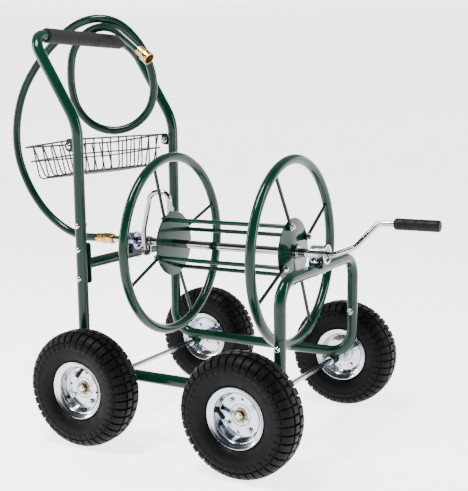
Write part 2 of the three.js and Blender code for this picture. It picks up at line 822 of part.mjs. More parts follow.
// Fixed inlet pipe: a flange against the swivel bearing and a pipe that ends inside the brass nut.
function inletPipe() {
  const flangeRear = UPRIGHT_X - BLOCK_HALF - 4.5;
  const flangeFront = UPRIGHT_X - BLOCK_HALF - GAP;
  const profile = [
    [WATERWAY_R, INLET_PIPE_REAR_X],
    [8, INLET_PIPE_REAR_X],
    [8, flangeRear],
    [16, flangeRear],
    [16, flangeFront],
    [SHAFT_R + GAP, flangeFront],
    [SHAFT_R + GAP, flangeFront - 2],
    [WATERWAY_R, flangeFront - 3],
    [WATERWAY_R, INLET_PIPE_REAR_X],
  ];
  return turned(profile, "x", [0, 0, REEL_Z], 16);
}

// Brass nut: six-sided where it grips the pipe, bored through for the water.
function inletNut() {
  const middle = (INLET_NUT.rear + INLET_NUT.front) / 2;
  const length = INLET_NUT.front - INLET_NUT.rear;
  const nut = cylinder(14.5, length, "x", [middle, 0, REEL_Z], 6);
  const bore = cylinder(8 + GAP, 28, "x", [INLET_NUT.front, 0, REEL_Z], 16);
  const waterway = cylinder(WATERWAY_R, 60, "x", [middle, 0, REEL_Z], 12);
  return nut.subtract(bore).subtract(waterway);
}

addPiece("water_inlet_pipe", inletPipe(), CHROME);
addPiece("inlet_brass_nut", inletNut(), BRASS);

// Ferrule between the nut and the start of the hose.
function startFerrule() {
  const front = INLET_NUT.rear - GAP;
  const rear = HOSE_START_X + GAP;
  return sleeve(WATERWAY_R, FERRULE_R, front - rear, "x", [(front + rear) / 2, 0, REEL_Z], 16);
}

addPiece("hose_start_ferrule", startFerrule(), BRASS);

const hosePath = new THREE.CatmullRomCurve3(
  HOSE_ROUTE.map((p) => new THREE.Vector3(...p)),
  false,
  "centripetal",
);
addPiece("leader_hose", extruded(hosePath, 46, HOSE_R, 8), HOSE_VINYL);

// Free end of the hose: a crimped brass tail, and the female swivel nut that turns on it.
const endPoint = new THREE.Vector3(...HOSE_ROUTE.at(-1));
const endAxis = endPoint.clone().sub(new THREE.Vector3(...HOSE_ROUTE.at(-2))).normalize();

// Turns a solid made along +Y so that it points out of the hose's free end, starting a gap beyond it.
function atHoseEnd(profile, sides) {
  const points = profile.map(([r, h]) => new THREE.Vector2(r, h));
  const geometry = new THREE.LatheGeometry(points, sides);
  const turn = new THREE.Quaternion().setFromUnitVectors(new THREE.Vector3(0, 1, 0), endAxis);
  geometry.applyQuaternion(turn);
  geometry.translate(...endPoint.clone().addScaledVector(endAxis, GAP).toArray());
  return solid(geometry);
}

const TAIL_SECTION = [
  [WATERWAY_R, 0],
  [FERRULE_R, 0],
  [FERRULE_R, 16],
  [8, 16.5],
  [8, 21],
  [10, 21],
  [10, 23],
  [WATERWAY_R, 23],
  [WATERWAY_R, 0],
];
const SWIVEL_NUT_SECTION = [
  [8.4, 17.5],
  [14.5, 17.5],
  [15.5, 19],
  [15.5, 38],
  [14.5, 39],
  [12.2, 39],
  [12.2, 23.5],
  [10.4, 23.5],
  [10.4, 20.4],
  [8.4, 20.4],
  [8.4, 17.5],
];
addPiece("hose_end_tail", atHoseEnd(TAIL_SECTION, 12), BRASS);
addPiece("hose_end_swivel_nut", atHoseEnd(SWIVEL_NUT_SECTION, 12), BRASS);

export default cart;
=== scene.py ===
import json
import math

import bmesh
import bpy
from mathutils import Matrix, Vector


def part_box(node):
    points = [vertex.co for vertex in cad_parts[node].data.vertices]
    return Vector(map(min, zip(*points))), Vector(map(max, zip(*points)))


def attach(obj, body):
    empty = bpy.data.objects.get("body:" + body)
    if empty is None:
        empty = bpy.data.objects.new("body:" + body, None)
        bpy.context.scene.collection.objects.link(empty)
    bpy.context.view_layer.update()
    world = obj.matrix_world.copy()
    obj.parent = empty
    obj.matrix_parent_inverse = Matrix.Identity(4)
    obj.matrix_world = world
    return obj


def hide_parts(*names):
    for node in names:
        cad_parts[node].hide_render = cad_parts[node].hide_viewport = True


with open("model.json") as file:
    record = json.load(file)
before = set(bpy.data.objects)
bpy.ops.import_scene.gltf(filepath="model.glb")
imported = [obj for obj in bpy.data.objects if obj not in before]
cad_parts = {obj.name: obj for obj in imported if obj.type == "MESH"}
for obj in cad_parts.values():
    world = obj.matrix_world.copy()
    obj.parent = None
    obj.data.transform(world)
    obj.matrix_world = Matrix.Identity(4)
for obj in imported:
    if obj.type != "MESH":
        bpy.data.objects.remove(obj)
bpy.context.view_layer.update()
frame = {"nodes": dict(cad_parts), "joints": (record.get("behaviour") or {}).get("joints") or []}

# Looks of the garden hose reel cart. Metres, in the model's frame: +X to the crank end, +Y left, +Z up.
# Profiles of turned pieces are written in millimetres and scaled where they are used.

MM = 0.001
TAU = 2 * math.pi
scene = bpy.context.scene


def joint_place(name):
    """Point on a joint's axis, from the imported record."""
    found = next(j for j in frame["joints"] if j["name"] == name)
    return Vector(found["pos_m"])


def centre(node):
    """Middle of a CAD node's box."""
    low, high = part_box(node)
    return (low + high) / 2


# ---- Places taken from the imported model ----

REEL_Z = joint_place("reel_spin").z
UPRIGHT_X = centre("right_handle_joint_bolt").x
FRONT_LEG_X = centre("right_hoop_joint_bolt").x
FRONT_BOLT_Z = centre("right_hoop_joint_bolt").z
FRAME_Y = centre("left_side_frame").y
REAR_JOINT_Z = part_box("left_side_frame")[1].z
FRONT_JOINT_Z = FRONT_BOLT_Z + 19 * MM
GRIP_X = centre("handle_foam_grip").x
GRIP_Z = centre("handle_foam_grip").z
SUPPORT_Z = centre("rear_cross_member").z - 3 * MM
REAR_RING_X = centre("rear_reel_ring").x
FRONT_RING_X = centre("front_reel_ring").x
REAR_DISC_X = centre("rear_hub_disc").x
FRONT_DISC_X = centre("front_hub_disc").x
CRANK_GRIP_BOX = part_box("crank_grip")

TUBE_R = 12.7 * MM
RAIL_Z = 150 * MM
HANDLE_BEND_Z = 704 * MM
RING_R = 204 * MM
RING_TUBE_R = 11 * MM
TIE_R = 65 * MM
STUD_ANGLES = [math.radians(24.7 + 90 * k) for k in range(4)]
SPOKE_LEAN = math.radians(2.1)
EYE_OFFSET = 5.2 * MM

# ---- Camera ----


def aim_camera():
    azimuth = math.radians(30.054)
    elevation = math.radians(9.477)
    roll = math.radians(-0.683)
    back = Vector((math.sin(azimuth) * math.cos(elevation),
                   -math.cos(azimuth) * math.cos(elevation),
                   math.sin(elevation)))
    right = Vector((math.cos(azimuth), math.sin(azimuth), 0))
    up = back.cross(right)
    tilted_right = right * math.cos(roll) + up * math.sin(roll)
    tilted_up = up * math.cos(roll) - right * math.sin(roll)
    data = bpy.data.cameras.new("camera")
    data.lens = 67.45
    data.sensor_width = 36
    data.shift_x = 0.0322
    data.shift_y = 0.0298
    camera = bpy.data.objects.new("camera", data)
    scene.collection.objects.link(camera)
    turn = Matrix((tilted_right, tilted_up, back)).transposed().to_4x4()
    camera.matrix_world = Matrix.Translation((1.00208, -1.81830, 0.73844)) @ turn
    scene.camera = camera


aim_camera()

# ---- Shape helpers ----


def axes_of(axis):
    """Two directions across an axis, and the axis itself."""
    along = Vector(axis).normalized()
    across = along.orthogonal().normalized()
    return across, along.cross(across), along


def lathe(bm, profile, origin, axis, steps=48, phase=0.0):
    """Adds a turned shape from (radius, height) in millimetres; a profile that ends where it began is a ring."""
    across, over, along = axes_of(axis)
    origin = Vector(origin)
    closed = profile[0] == profile[-1]
    rings = []
    for radius, height in profile[:-1] if closed else profile:
        middle = origin + along * height * MM
        if radius < 1e-4:
            rings.append([bm.verts.new(middle)])
            continue
        ring = []
        for i in range(steps):
            angle = phase + TAU * i / steps
            ring.append(bm.verts.new(middle + (across * math.cos(angle) + over * math.sin(angle)) * radius * MM))
        rings.append(ring)
    pairs = list(zip(rings, rings[1:]))
    if closed:
        pairs.append((rings[-1], rings[0]))
    for low, high in pairs:
        for i in range(steps):
            j = (i + 1) % steps
            if len(low) == 1 and len(high) > 1:
                bm.faces.new((low[0], high[j], high[i]))
            elif len(high) == 1 and len(low) > 1:
                bm.faces.new((low[i], low[j], high[0]))
            elif len(low) > 1:
                bm.faces.new((low[i], low[j], high[j], high[i]))


def rounded(profile, radius, steps=4):
    """The same profile with its corners rounded to a radius in millimetres, or less where there is no room."""
    points = [Vector(p) for p in profile]
    closed = profile[0] == profile[-1]
    if closed:
        points = points[:-1]
    count = len(points)
    out = []
    for i, point in enumerate(points):
        if not closed and i in (0, count - 1):
            out.append(tuple(point))
            continue
        before = points[i - 1] - point
        after = points[(i + 1) % count] - point
        room = min(radius, before.length * 0.45, after.length * 0.45)
        start = point + before.normalized() * room
        end = point + after.normalized() * room
        for k in range(steps + 1):
            t = k / steps
            out.append(tuple(start * (1 - t) ** 2 + point * 2 * t * (1 - t) + end * t ** 2))
    if closed:
        out.append(out[0])
    return out


def sweep(bm, points, radius, sides=20, closed=False, dome=0.0):
    """Adds a round tube along points. The radius is one number or one for each point; dome rounds the ends."""
    points = [Vector(p) for p in points]
    radii = list(radius) if hasattr(radius, "__len__") else [radius] * len(points)
    if dome:
        points, radii = domed(points, radii, dome)
    count = len(points)
    tangents = []
    for i in range(count):
        if closed:
            tangents.append((points[(i + 1) % count] - points[i - 1]).normalized())
        else:
            tangents.append((points[min(i + 1, count - 1)] - points[max(i - 1, 0)]).normalized())
    normal = tangents[0].orthogonal().normalized()
    rings = []
    for i in range(count):
        if i:
            normal = tangents[i - 1].rotation_difference(tangents[i]) @ normal
            normal = (normal - tangents[i] * normal.dot(tangents[i])).normalized()
        side = tangents[i].cross(normal)
        ring = []
        for k in range(sides):
            angle = TAU * k / sides
            ring.append(bm.verts.new(points[i] + (normal * math.cos(angle) + side * math.sin(angle)) * radii[i]))
        rings.append(ring)
    pairs = list(zip(rings, rings[1:]))
    if closed:
        pairs.append((rings[-1], rings[0]))
    for low, high in pairs:
        for k in range(sides):
            m = (k + 1) % sides
            bm.faces.new((low[k], low[m], high[m], high[k]))
    if not closed:
        bm.faces.new(reversed(rings[0]))
        bm.faces.new(rings[-1])


def domed(points, radii, depth):
    """Extra stations that round a tube's two ends over a depth, ending in a small flat."""
    steps = 4

    def cap(end, inner, radius):
        outward = (end - inner).normalized()
        made = []
        for k in range(1, steps + 1):
            turn = math.radians(80) * k / steps
            made.append((end + outward * depth * math.sin(turn), radius - depth * (1 - math.cos(turn))))
        return made

    first = cap(points[0], points[1], radii[0])[::-1]
    last = cap(points[-1], points[-2], radii[-1])
    new_points = [p for p, _ in first] + points + [p for p, _ in last]
    new_radii = [r for _, r in first] + radii + [r for _, r in last]
    return new_points, new_radii


def bent(corners, radii, straight=0.0):
    """Points along straight runs and round bends of the given radii; straight runs are cut into equal parts."""
    corners = [Vector(c) for c in corners]
    points = [corners[0]]
    for i in range(1, len(corners) - 1):
        inward = (corners[i] - corners[i - 1]).normalized()
        outward = (corners[i + 1] - corners[i]).normalized()
        turn = inward.angle(outward)
        radius = radii[i - 1]
        start = corners[i] - inward * radius * math.tan(turn / 2)
        side = (outward - inward * outward.dot(inward)).normalized()
        steps = max(4, round(math.degrees(turn) / 5))
        for k in range(steps + 1):
            angle = turn * k / steps
            points.append(start + inward * radius * math.sin(angle) + side * radius * (1 - math.cos(angle)))
    points.append(corners[-1])
    if not straight:
        return points
    cut = [points[0]]
    for a, b in zip(points, points[1:]):
        parts = max(1, round((b - a).length / straight))
        cut += [a.lerp(b, k / parts) for k in range(1, parts + 1)]
    return cut


def plate(bm, outline, holes, thickness, place):
    """Adds a flat plate with holes. Outline and holes are lists of 2-D points in metres; place is a matrix."""
    flat = bmesh.new()
    edges = []
    for loop in [outline, *holes]:
        corners = [flat.verts.new((x, y, -thickness / 2)) for x, y in loop]
        edges += [flat.edges.new((corners[i - 1], corners[i])) for i in range(len(corners))]
    bmesh.ops.triangle_fill(flat, use_beauty=True, use_dissolve=False, edges=edges)
    made = bmesh.ops.extrude_face_region(flat, geom=flat.faces[:])
    lifted = [v for v in made["geom"] if isinstance(v, bmesh.types.BMVert)]
    bmesh.ops.translate(flat, vec=(0, 0, thickness), verts=lifted)
    flat.transform(place)
    spare = bpy.data.meshes.new("spare")
    flat.to_mesh(spare)
    flat.free()
    bm.from_mesh(spare)
    bpy.data.meshes.remove(spare)


def circle(radius, steps=24, middle=(0, 0)):
    return [(middle[0] + radius * math.cos(TAU * i / steps), middle[1] + radius * math.sin(TAU * i / steps))
            for i in range(steps)]


def rounded_box(width, height, corner):
    points = []
    for sx, sy, start in ((1, 1, 0), (-1, 1, 90), (-1, -1, 180), (1, -1, 270)):
        for k in range(5):
            angle = math.radians(start + 90 * k / 4)
            points.append((sx * (width / 2 - corner) + corner * math.cos(angle),
                           sy * (height / 2 - corner) + corner * math.sin(angle)))
    return points


def weld(bm, middle, axis, radius, bead=1.4 * MM, steps=40):
    """Adds a rippled weld bead: a ring round an axis."""
    across, over = axes_of(axis)[:2]
    points, radii = [], []
    for i in range(steps):
        angle = TAU * i / steps
        points.append(Vector(middle) + (across * math.cos(angle) + over * math.sin(angle)) * radius)
        radii.append(bead * (1 + 0.22 * math.sin(i * TAU / 4) + 0.12 * math.sin(i * 2.3)))
    sweep(bm, points, radii, sides=8, closed=True)


def sleeve(inner, outer, low, high, corner, steps=3):
    """Profile of a plain ring with rounded edges, in millimetres."""
    return rounded([(inner, low), (outer, low), (outer, high), (inner, high), (inner, low)], corner, steps)


def upright(x, y, z):
    """Matrix that stands a plate in the X-Z plane with its own X forward and Y up."""
    return Matrix(((1, 0, 0, x), (0, 0, 1, y), (0, 1, 0, z), (0, 0, 0, 1)))


def turned(bm, profile, steps, phase=0.0):
    """Adds a turned shape round the mesh's own Z axis."""
    lathe(bm, profile, (0, 0, 0), (0, 0, 1), steps, phase)


HEX_NUT = [(3.1, 0), (5.4, 0), (6.2, 0.7), (6.2, 4.3), (5.4, 5), (3.1, 5), (3.1, 0)]
WASHER = sleeve(3.2, 7.6, 0, 1.1, 0.3, 2)


def scaled(profile, radial, axial):
    return [(r * radial, h * axial) for r, h in profile]


def nut(bm, origin, axis, size=1.0, turn=0.0):
    """Adds a chamfered hexagon nut that stands on a surface at origin, facing along an axis."""
    lathe(bm, scaled(HEX_NUT, size, size), origin, axis, 6, turn)


def thread(bm, origin, axis, radius, length, pitch=1.0):
    """Adds a threaded end: a turned rod with V grooves and a chamfered tip. Radius and length in millimetres."""
    profile = [(0, 0), (radius, 0)]
    height = 0.0
    while height < length - pitch:
        profile += [(radius, height + pitch * 0.25), (radius * 0.86, height + pitch * 0.7)]
        height += pitch
    profile += [(radius * 0.8, length), (0, length)]
    lathe(bm, profile, origin, axis, 16)


def piece(name, bm, material, body, stands_for=(), smooth=40, at=None):
    """Turns a bmesh into an object that rides on a body."""
    bmesh.ops.recalc_face_normals(bm, faces=bm.faces)
    mesh = bpy.data.meshes.new(name)
    bm.to_mesh(mesh)
    bm.free()
    return piece_of(name, mesh, material, body, stands_for, smooth, at)


def piece_of(name, mesh, material, body, stands_for=(), smooth=40, at=None):
    if at is not None:
        mesh = mesh.copy()
        mesh.transform(at)
    if not mesh.materials:
        mesh.materials.append(material)
        mesh.shade_smooth()
        mesh.set_sharp_from_angle(angle=math.radians(smooth))
    made = bpy.data.objects.new(name, mesh)
    scene.collection.objects.link(made)
    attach(made, body)
    if stands_for:
        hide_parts(*stands_for)
    return made


# ---- Materials ----


class Look:
    """A procedural material built round one Principled shader, with textures in the piece's own coordinates."""

    def __init__(self, name, roughness, metallic=0.0):
        self.material = bpy.data.materials.new(name)
        self.material.use_nodes = True
        self.tree = self.material.node_tree
        self.shader = self.tree.nodes["Principled BSDF"]
        self.shader.inputs["Metallic"].default_value = metallic
        self.shader.inputs["Roughness"].default_value = roughness
        self.coordinates = self.tree.nodes.new("ShaderNodeTexCoord").outputs["Object"]
        self.height = None

    def node(self, kind, **values):
        made = self.tree.nodes.new(kind)
        for key, value in values.items():
            setattr(made, key, value)
        return made

    def link(self, a, b):
        self.tree.links.new(a, b)

    def noise(self, scale, detail, stretch=(1, 1, 1)):
        mapping = self.node("ShaderNodeMapping")
        mapping.inputs["Scale"].default_value = stretch
        self.link(self.coordinates, mapping.inputs["Vector"])
        made = self.node("ShaderNodeTexNoise")
        made.inputs["Scale"].default_value = scale
        made.inputs["Detail"].default_value = detail
        made.inputs["Roughness"].default_value = 0.55
        self.link(mapping.outputs["Vector"], made.inputs["Vector"])
        return made.outputs["Fac"]

    def cells(self, scale):
        made = self.node("ShaderNodeTexVoronoi")
        made.inputs["Scale"].default_value = scale
        self.link(self.coordinates, made.inputs["Vector"])
        return made.outputs["Distance"]

    def ramp(self, value, stops):
        made = self.node("ShaderNodeValToRGB")
        elements = made.color_ramp.elements
        while len(elements) < len(stops):
            elements.new(0.5)
        for element, (position, colour) in zip(elements, stops):
            element.position = position
            element.color = (*colour, 1)
        self.link(value, made.inputs["Fac"])
        return made.outputs["Color"]

    def spread(self, value, low, high, start=0.3, end=0.7):
        made = self.node("ShaderNodeMapRange")
        made.inputs["From Min"].default_value = start
        made.inputs["From Max"].default_value = end
        made.inputs["To Min"].default_value = low
        made.inputs["To Max"].default_value = high
        self.link(value, made.inputs["Value"])
        return made.outputs["Result"]

    def mixed(self, share, first, second):
        made = self.node("ShaderNodeMix", data_type="RGBA")
        self.link(share, made.inputs["Factor"])
        for value, socket in ((first, made.inputs[6]), (second, made.inputs[7])):
            if isinstance(value, tuple):
                socket.default_value = (*value, 1)
            else:
                self.link(value, socket)
        return made.outputs[2]

    def colour(self, socket):
        self.link(socket, self.shader.inputs["Base Color"])

    def roughness(self, socket):
        self.link(socket, self.shader.inputs["Roughness"])

    def bump(self, value, strength, distance):
        made = self.node("ShaderNodeBump")
        made.inputs["Strength"].default_value = strength
        made.inputs["Distance"].default_value = distance
        self.link(value, made.inputs["Height"])
        if self.height is not None:
            self.link(self.height, made.inputs["Normal"])
        self.height = made.outputs["Normal"]
        self.link(self.height, self.shader.inputs["Normal"])

    def fixed(self, **values):
        for key, value in values.items():
            self.shader.inputs[key.replace("_", " ")].default_value = value


def painted(name, dark, light, gloss):
    """Powder coat: slight tone changes, orange peel, and faint dust that dulls the gloss."""
    look = Look(name, gloss)
    tone = look.noise(9, 5)
    base = look.ramp(tone, [(0.3, dark), (0.7, light)])
    specks = look.spread(look.noise(420, 2), 0, 0.35, 0.66, 0.74)
    look.colour(look.mixed(specks, base, tuple(min(1.0, c * 1.9 + 0.01) for c in light)))
    look.roughness(look.spread(look.noise(35, 5), gloss, gloss + 0.14))
    look.bump(look.noise(520, 2), 0.10, 0.0004)
    look.fixed(Coat_Weight=0.15, Coat_Roughness=0.05, Specular_IOR_Level=0.14)
    return look.material


def plated(name, warm, cool, gloss, span, scale, peel=0.05):
    """Plated metal: drifting tint, smudges in the gloss, fine drawn lines."""
    look = Look(name, gloss, 1.0)
    look.colour(look.ramp(look.noise(scale, 5), [(0.32, cool),
                                                 (0.5, tuple((a + b) / 2 for a, b in zip(warm, cool))),
                                                 (0.68, warm)]))
    look.roughness(look.spread(look.noise(scale * 3, 6), gloss, gloss + span))
    look.bump(look.noise(700, 2, (1, 1, 0.2)), peel, 0.0003)
    return look.material


GREEN = painted("green_paint", (0.0005, 0.0138, 0.0074), (0.0010, 0.0200, 0.0110), 0.10)
# Darker copy of the green paint for the reel's spokes and eyes: painted shade, the same paint as the frame.
SHADED_GREEN = painted("green_paint_painted_shade", (0.0004, 0.006, 0.0038), (0.0008, 0.009, 0.0055), 0.22)
WIRE = painted("basket_wire", (0.0004, 0.0016, 0.0012), (0.0010, 0.0032, 0.0024), 0.3)
CHROME = plated("chrome_plate", (0.38, 0.37, 0.36), (0.29, 0.31, 0.33), 0.03, 0.05, 14, 0.012)
ZINC = plated("zinc_plate", (0.50, 0.51, 0.52), (0.36, 0.41, 0.47), 0.12, 0.09, 11, 0.012)
YELLOW_ZINC = plated("yellow_zinc", (0.26, 0.21, 0.10), (0.19, 0.17, 0.11), 0.26, 0.2, 60)
BRASS = plated("brass_fitting", (0.52, 0.33, 0.10), (0.43, 0.26, 0.07), 0.14, 0.12, 40)
# Much darker brass for the inside of the coupling nut: painted shade in the bore.
SHADED_BORE_BRASS = plated("bore_brass_painted_shade", (0.060, 0.028, 0.006), (0.036, 0.016, 0.004), 0.35, 0.2, 60)
BLUE_ZINC = plated("blue_zinc", (0.34, 0.33, 0.46), (0.22, 0.22, 0.36), 0.14, 0.1, 30, 0.015)


def tyre_rubber():
    look = Look("tyre_rubber", 0.5)
    worn = look.spread(look.noise(30, 6), 0, 0.6, 0.45, 0.75)
    look.colour(look.mixed(worn, (0.0016, 0.0015, 0.0017), (0.0040, 0.0037, 0.0040)))
    look.roughness(look.spread(look.noise(70, 5), 0.40, 0.62))
    look.bump(look.noise(260, 6), 0.25, 0.0006)
    look.bump(look.cells(700), 0.12, 0.0003)
    look.fixed(Specular_IOR_Level=0.07)
    return look.material


def grip_rubber():
    look = Look("grip_rubber", 0.5)
    look.colour(look.ramp(look.noise(60, 5), [(0.35, (0.0024, 0.0024, 0.0026)), (0.7, (0.006, 0.0058, 0.006))]))
    look.roughness(look.spread(look.noise(90, 4), 0.42, 0.6))
    look.bump(look.noise(900, 3), 0.3, 0.0003)
    look.fixed(Specular_IOR_Level=0.12)
    return look.material


def foam():
    """Closed-cell foam: fine pores, and pressed marks that are a little smoother."""
    look = Look("foam_grip", 0.85)
    pores = look.cells(1100)
    marks = look.noise(45, 4)
    base = look.ramp(marks, [(0.3, (0.007, 0.0068, 0.0075)), (0.7, (0.013, 0.0125, 0.0135))])
    look.colour(look.mixed(look.spread(pores, 0.5, 0, 0, 0.35), base, (0.010, 0.0095, 0.0105)))
    look.roughness(look.spread(marks, 0.7, 0.92))
    look.bump(pores, 0.35, 0.0005)
    look.bump(look.noise(160, 5), 0.25, 0.0008)
    look.fixed(Sheen_Weight=0.02, Sheen_Roughness=0.5, Specular_IOR_Level=0.15)
    return look.material


def vinyl():
    """Hose vinyl: glossy, with drifting tone and soft scuffs."""
    look = Look("hose_vinyl", 0.2)
    look.colour(look.ramp(look.noise(16, 5), [(0.3, (0.0008, 0.0085, 0.0055)), (0.7, (0.0014, 0.015, 0.010))]))
    look.roughness(look.spread(look.noise(55, 6), 0.14, 0.3))
    look.bump(look.noise(240, 3), 0.08, 0.0005)
    look.fixed(Coat_Weight=0.1, Coat_Roughness=0.08, Specular_IOR_Level=0.14)
    return look.material


TYRE = tyre_rubber()
RUBBER = grip_rubber()
FOAM = foam()
VINYL = vinyl()

# ---- Leader hose and its fittings ----

HOSE_R = 10 * MM

# The route of the hose's centre line, the same points as the solid's, in metres.
HOSE_ROUTE = [
    (-0.3965, 0, 0.42), (-0.44, 0, 0.4205), (-0.493, -0.002, 0.436), (-0.552, -0.007, 0.478),
    (-0.6, -0.012, 0.542), (-0.63, -0.015, 0.622), (-0.635, -0.01, 0.702), (-0.617, 0, 0.782),
    (-0.578, 0.014, 0.85), (-0.525, 0.028, 0.906), (-0.466, 0.042, 0.945), (-0.415, 0.058, 0.9555),
    (-0.373, 0.082, 0.943), (-0.336, 0.11, 0.899), (-0.314, 0.127, 0.843), (-0.307, 0.132, 0.784),
    (-0.319, 0.125, 0.733), (-0.351, 0.106, 0.696), (-0.395, 0.081, 0.682), (-0.44, 0.057, 0.696),
    (-0.472, 0.04, 0.733), (-0.486, 0.033, 0.785), (-0.487, 0.034, 0.847), (-0.481, 0.038, 0.879),
    (-0.4615, 0.0445, 0.91), (-0.43, 0.0505, 0.9295), (-0.393, 0.054, 0.934), (-0.357, 0.0535, 0.9225),
    (-0.324, 0.051, 0.8995), (-0.292, 0.049, 0.8755),
]


def smooth_curve(route, per_span=12):
    """Centripetal Catmull-Rom curve through the route, as points."""
    points = [Vector(p) for p in route]
    points = [points[0] * 2 - points[1]] + points + [points[-1] * 2 - points[-2]]
    made = []
    for p0, p1, p2, p3 in zip(points, points[1:], points[2:], points[3:]):
        d0, d1, d2 = (math.sqrt((b - a).length) for a, b in ((p0, p1), (p1, p2), (p2, p3)))
        t1 = ((p1 - p0) / d0 - (p2 - p0) / (d0 + d1) + (p2 - p1) / d1) * d1
        t2 = ((p2 - p1) / d1 - (p3 - p1) / (d1 + d2) + (p3 - p2) / d2) * d1
        for k in range(per_span):
            w = k / per_span
            cubic = (p1 * 2 - p2 * 2 + t1 + t2) * w ** 3
            made.append(p1 + t1 * w + (p2 * 3 - p1 * 3 - t1 * 2 - t2) * w ** 2 + cubic)
    made.append(points[-2])
    return made


def make_hose():
    path = smooth_curve(HOSE_ROUTE)
    bm = bmesh.new()
    sweep(bm, path, HOSE_R, sides=28)
    hose = piece("hose_tube", bm, VINYL, "frame", ["leader_hose"], 60)

    inlet = Vector((HOSE_ROUTE[0][0], 0, REEL_Z))
    bm = bmesh.new()
    ferrule = [(5, 0.3), (10.6, 0.3), (11.5, 1.2), (11.5, 4), (10.7, 4.8), (10.7, 6), (11.5, 6.8), (11.5, 10),
               (10.7, 10.8), (10.7, 12), (11.5, 12.8), (11.5, 17), (12.2, 17.6), (12.2, 20.6), (11.4, 21.6),
               (8.8, 22.2), (5, 22.2), (5, 0.3)]
    lathe(bm, ferrule, inlet, (1, 0, 0), 56)
    start = piece("hose_start_collar", bm, BRASS, "frame", ["hose_start_ferrule"], 32)

    end = Vector(HOSE_ROUTE[-1])
    along = (end - Vector(HOSE_ROUTE[-2])).normalized()
    bm = bmesh.new()
    tail = [(5, 0.3), (10.8, 0.3), (11.5, 1), (11.5, 5), (10.8, 5.7), (10.8, 6.9), (11.5, 7.6), (11.5, 11),
            (10.8, 11.7), (10.8, 12.9), (11.5, 13.6), (11.5, 15.4), (10.9, 16.3), (8, 16.8), (8, 21.3),
            (10, 21.4), (10, 23.2), (5, 23.3), (5, 0.3)]
    lathe(bm, tail, end, along, 56)
    tail = piece("hose_end_collar", bm, BRASS, "frame", ["hose_end_tail"], 32)
    return hose, start, tail, end, along, path


hose, start_collar, end_collar, hose_end, hose_axis, hose_path = make_hose()


def make_swivel_nut():
    """Female coupling nut: rolled mouth, smooth neck, inner thread in the bore, washer at its foot; the bore's
    brass is painted dark as shade.
    """
    bm = bmesh.new()
    shell = [(8.4, 17.8), (13.2, 17.8), (14.4, 18.6), (14.9, 20), (14.9, 21.4), (14.2, 22.4), (14.2, 33.4),
             (14.9, 34.4), (15.5, 35.4), (15.5, 38.2), (14.8, 39.2), (13.4, 39.3), (12.5, 38.6)]
    height = 38.2
    while height > 25:
        shell += [(12.1, height - 0.5), (13.0, height - 1.3)]
        height -= 1.9
    shell += [(12.2, 24), (8.4, 23.9), (8.4, 17.8)]
    lathe(bm, shell, hose_end, hose_axis, 64)
    made = piece("hose_coupling_nut", bm, BRASS, "hose_end_nut", ["hose_end_swivel_nut"], 32)
    # Faces inside the bore get the darker brass: painted shade in the recess.
    made.data.materials.append(SHADED_BORE_BRASS)
    for face in made.data.polygons:
        reach = face.center - hose_end
        height = reach.dot(hose_axis)
        if height > 23.9 * MM and (reach - hose_axis * height).length < 13.05 * MM:
            face.material_index = 1
    bm = bmesh.new()
    lathe(bm, sleeve(6, 11.9, 24.1, 26.4, 0.6), hose_end, hose_axis, 40)
    washer = piece("hose_coupling_washer", bm, RUBBER, "hose_end_nut")
    return made, washer


coupling_nut, coupling_washer = make_swivel_nut()

# ---- Wheels ----

PITCHES = 42
# Columns of one tread pitch: share of the pitch, and whether that column is on a block of the row that is in
# step with the pitch, and of the row that is half a pitch out of step.
COLUMNS = [(0.0, 0, 1), (0.05, 0, 1), (0.13, 1, 1), (0.36, 1, 1), (0.44, 1, 0), (0.50, 1, 0), (0.55, 1, 0),
           (0.63, 1, 1), (0.86, 1, 1), (0.94, 0, 1)]
# Rows across the tyre: (radius, distance from the middle, row kind, lift) in millimetres. Kinds: "a" and "b" are
# the two staggered centre rows, "s" the shoulder lugs, "t" the lower tier of lugs, "" is bare carcass.
TYRE_ROWS = [
    (57.6, 17.6, "", 0), (60.6, 21.6, "", 0), (64.8, 24.8, "", 0), (66.6, 28.4, "", 0), (69.2, 32.0, "", 0),
    (73.5, 35.0, "", 0), (79.0, 37.8, "", 0), (85.5, 39.8, "", 0), (91.0, 40.5, "", 0), (95.5, 40.7, "", 0),
    (97.6, 40.6, "t", 1.3), (101.5, 40.1, "t", 1.5), (106.0, 39.1, "t", 1.6), (108.4, 38.0, "", 0.2),
    (109.6, 37.5, "s", 2.6), (113.5, 35.4, "s", 3.3), (117.2, 32.2, "s", 3.9), (120.3, 28.0, "s", 4.4),
    (122.4, 23.2, "s", 4.7), (123.2, 20.6, "s", 4.8), (123.7, 18.8, "", 0), (124.0, 17.3, "", 0),
    (124.2, 16.2, "a", 5.0), (124.7, 12.0, "a", 5.1), (125.0, 7.0, "a", 5.0), (125.1, 2.8, "a", 4.9),
    (125.1, 1.2, "", 0),
]


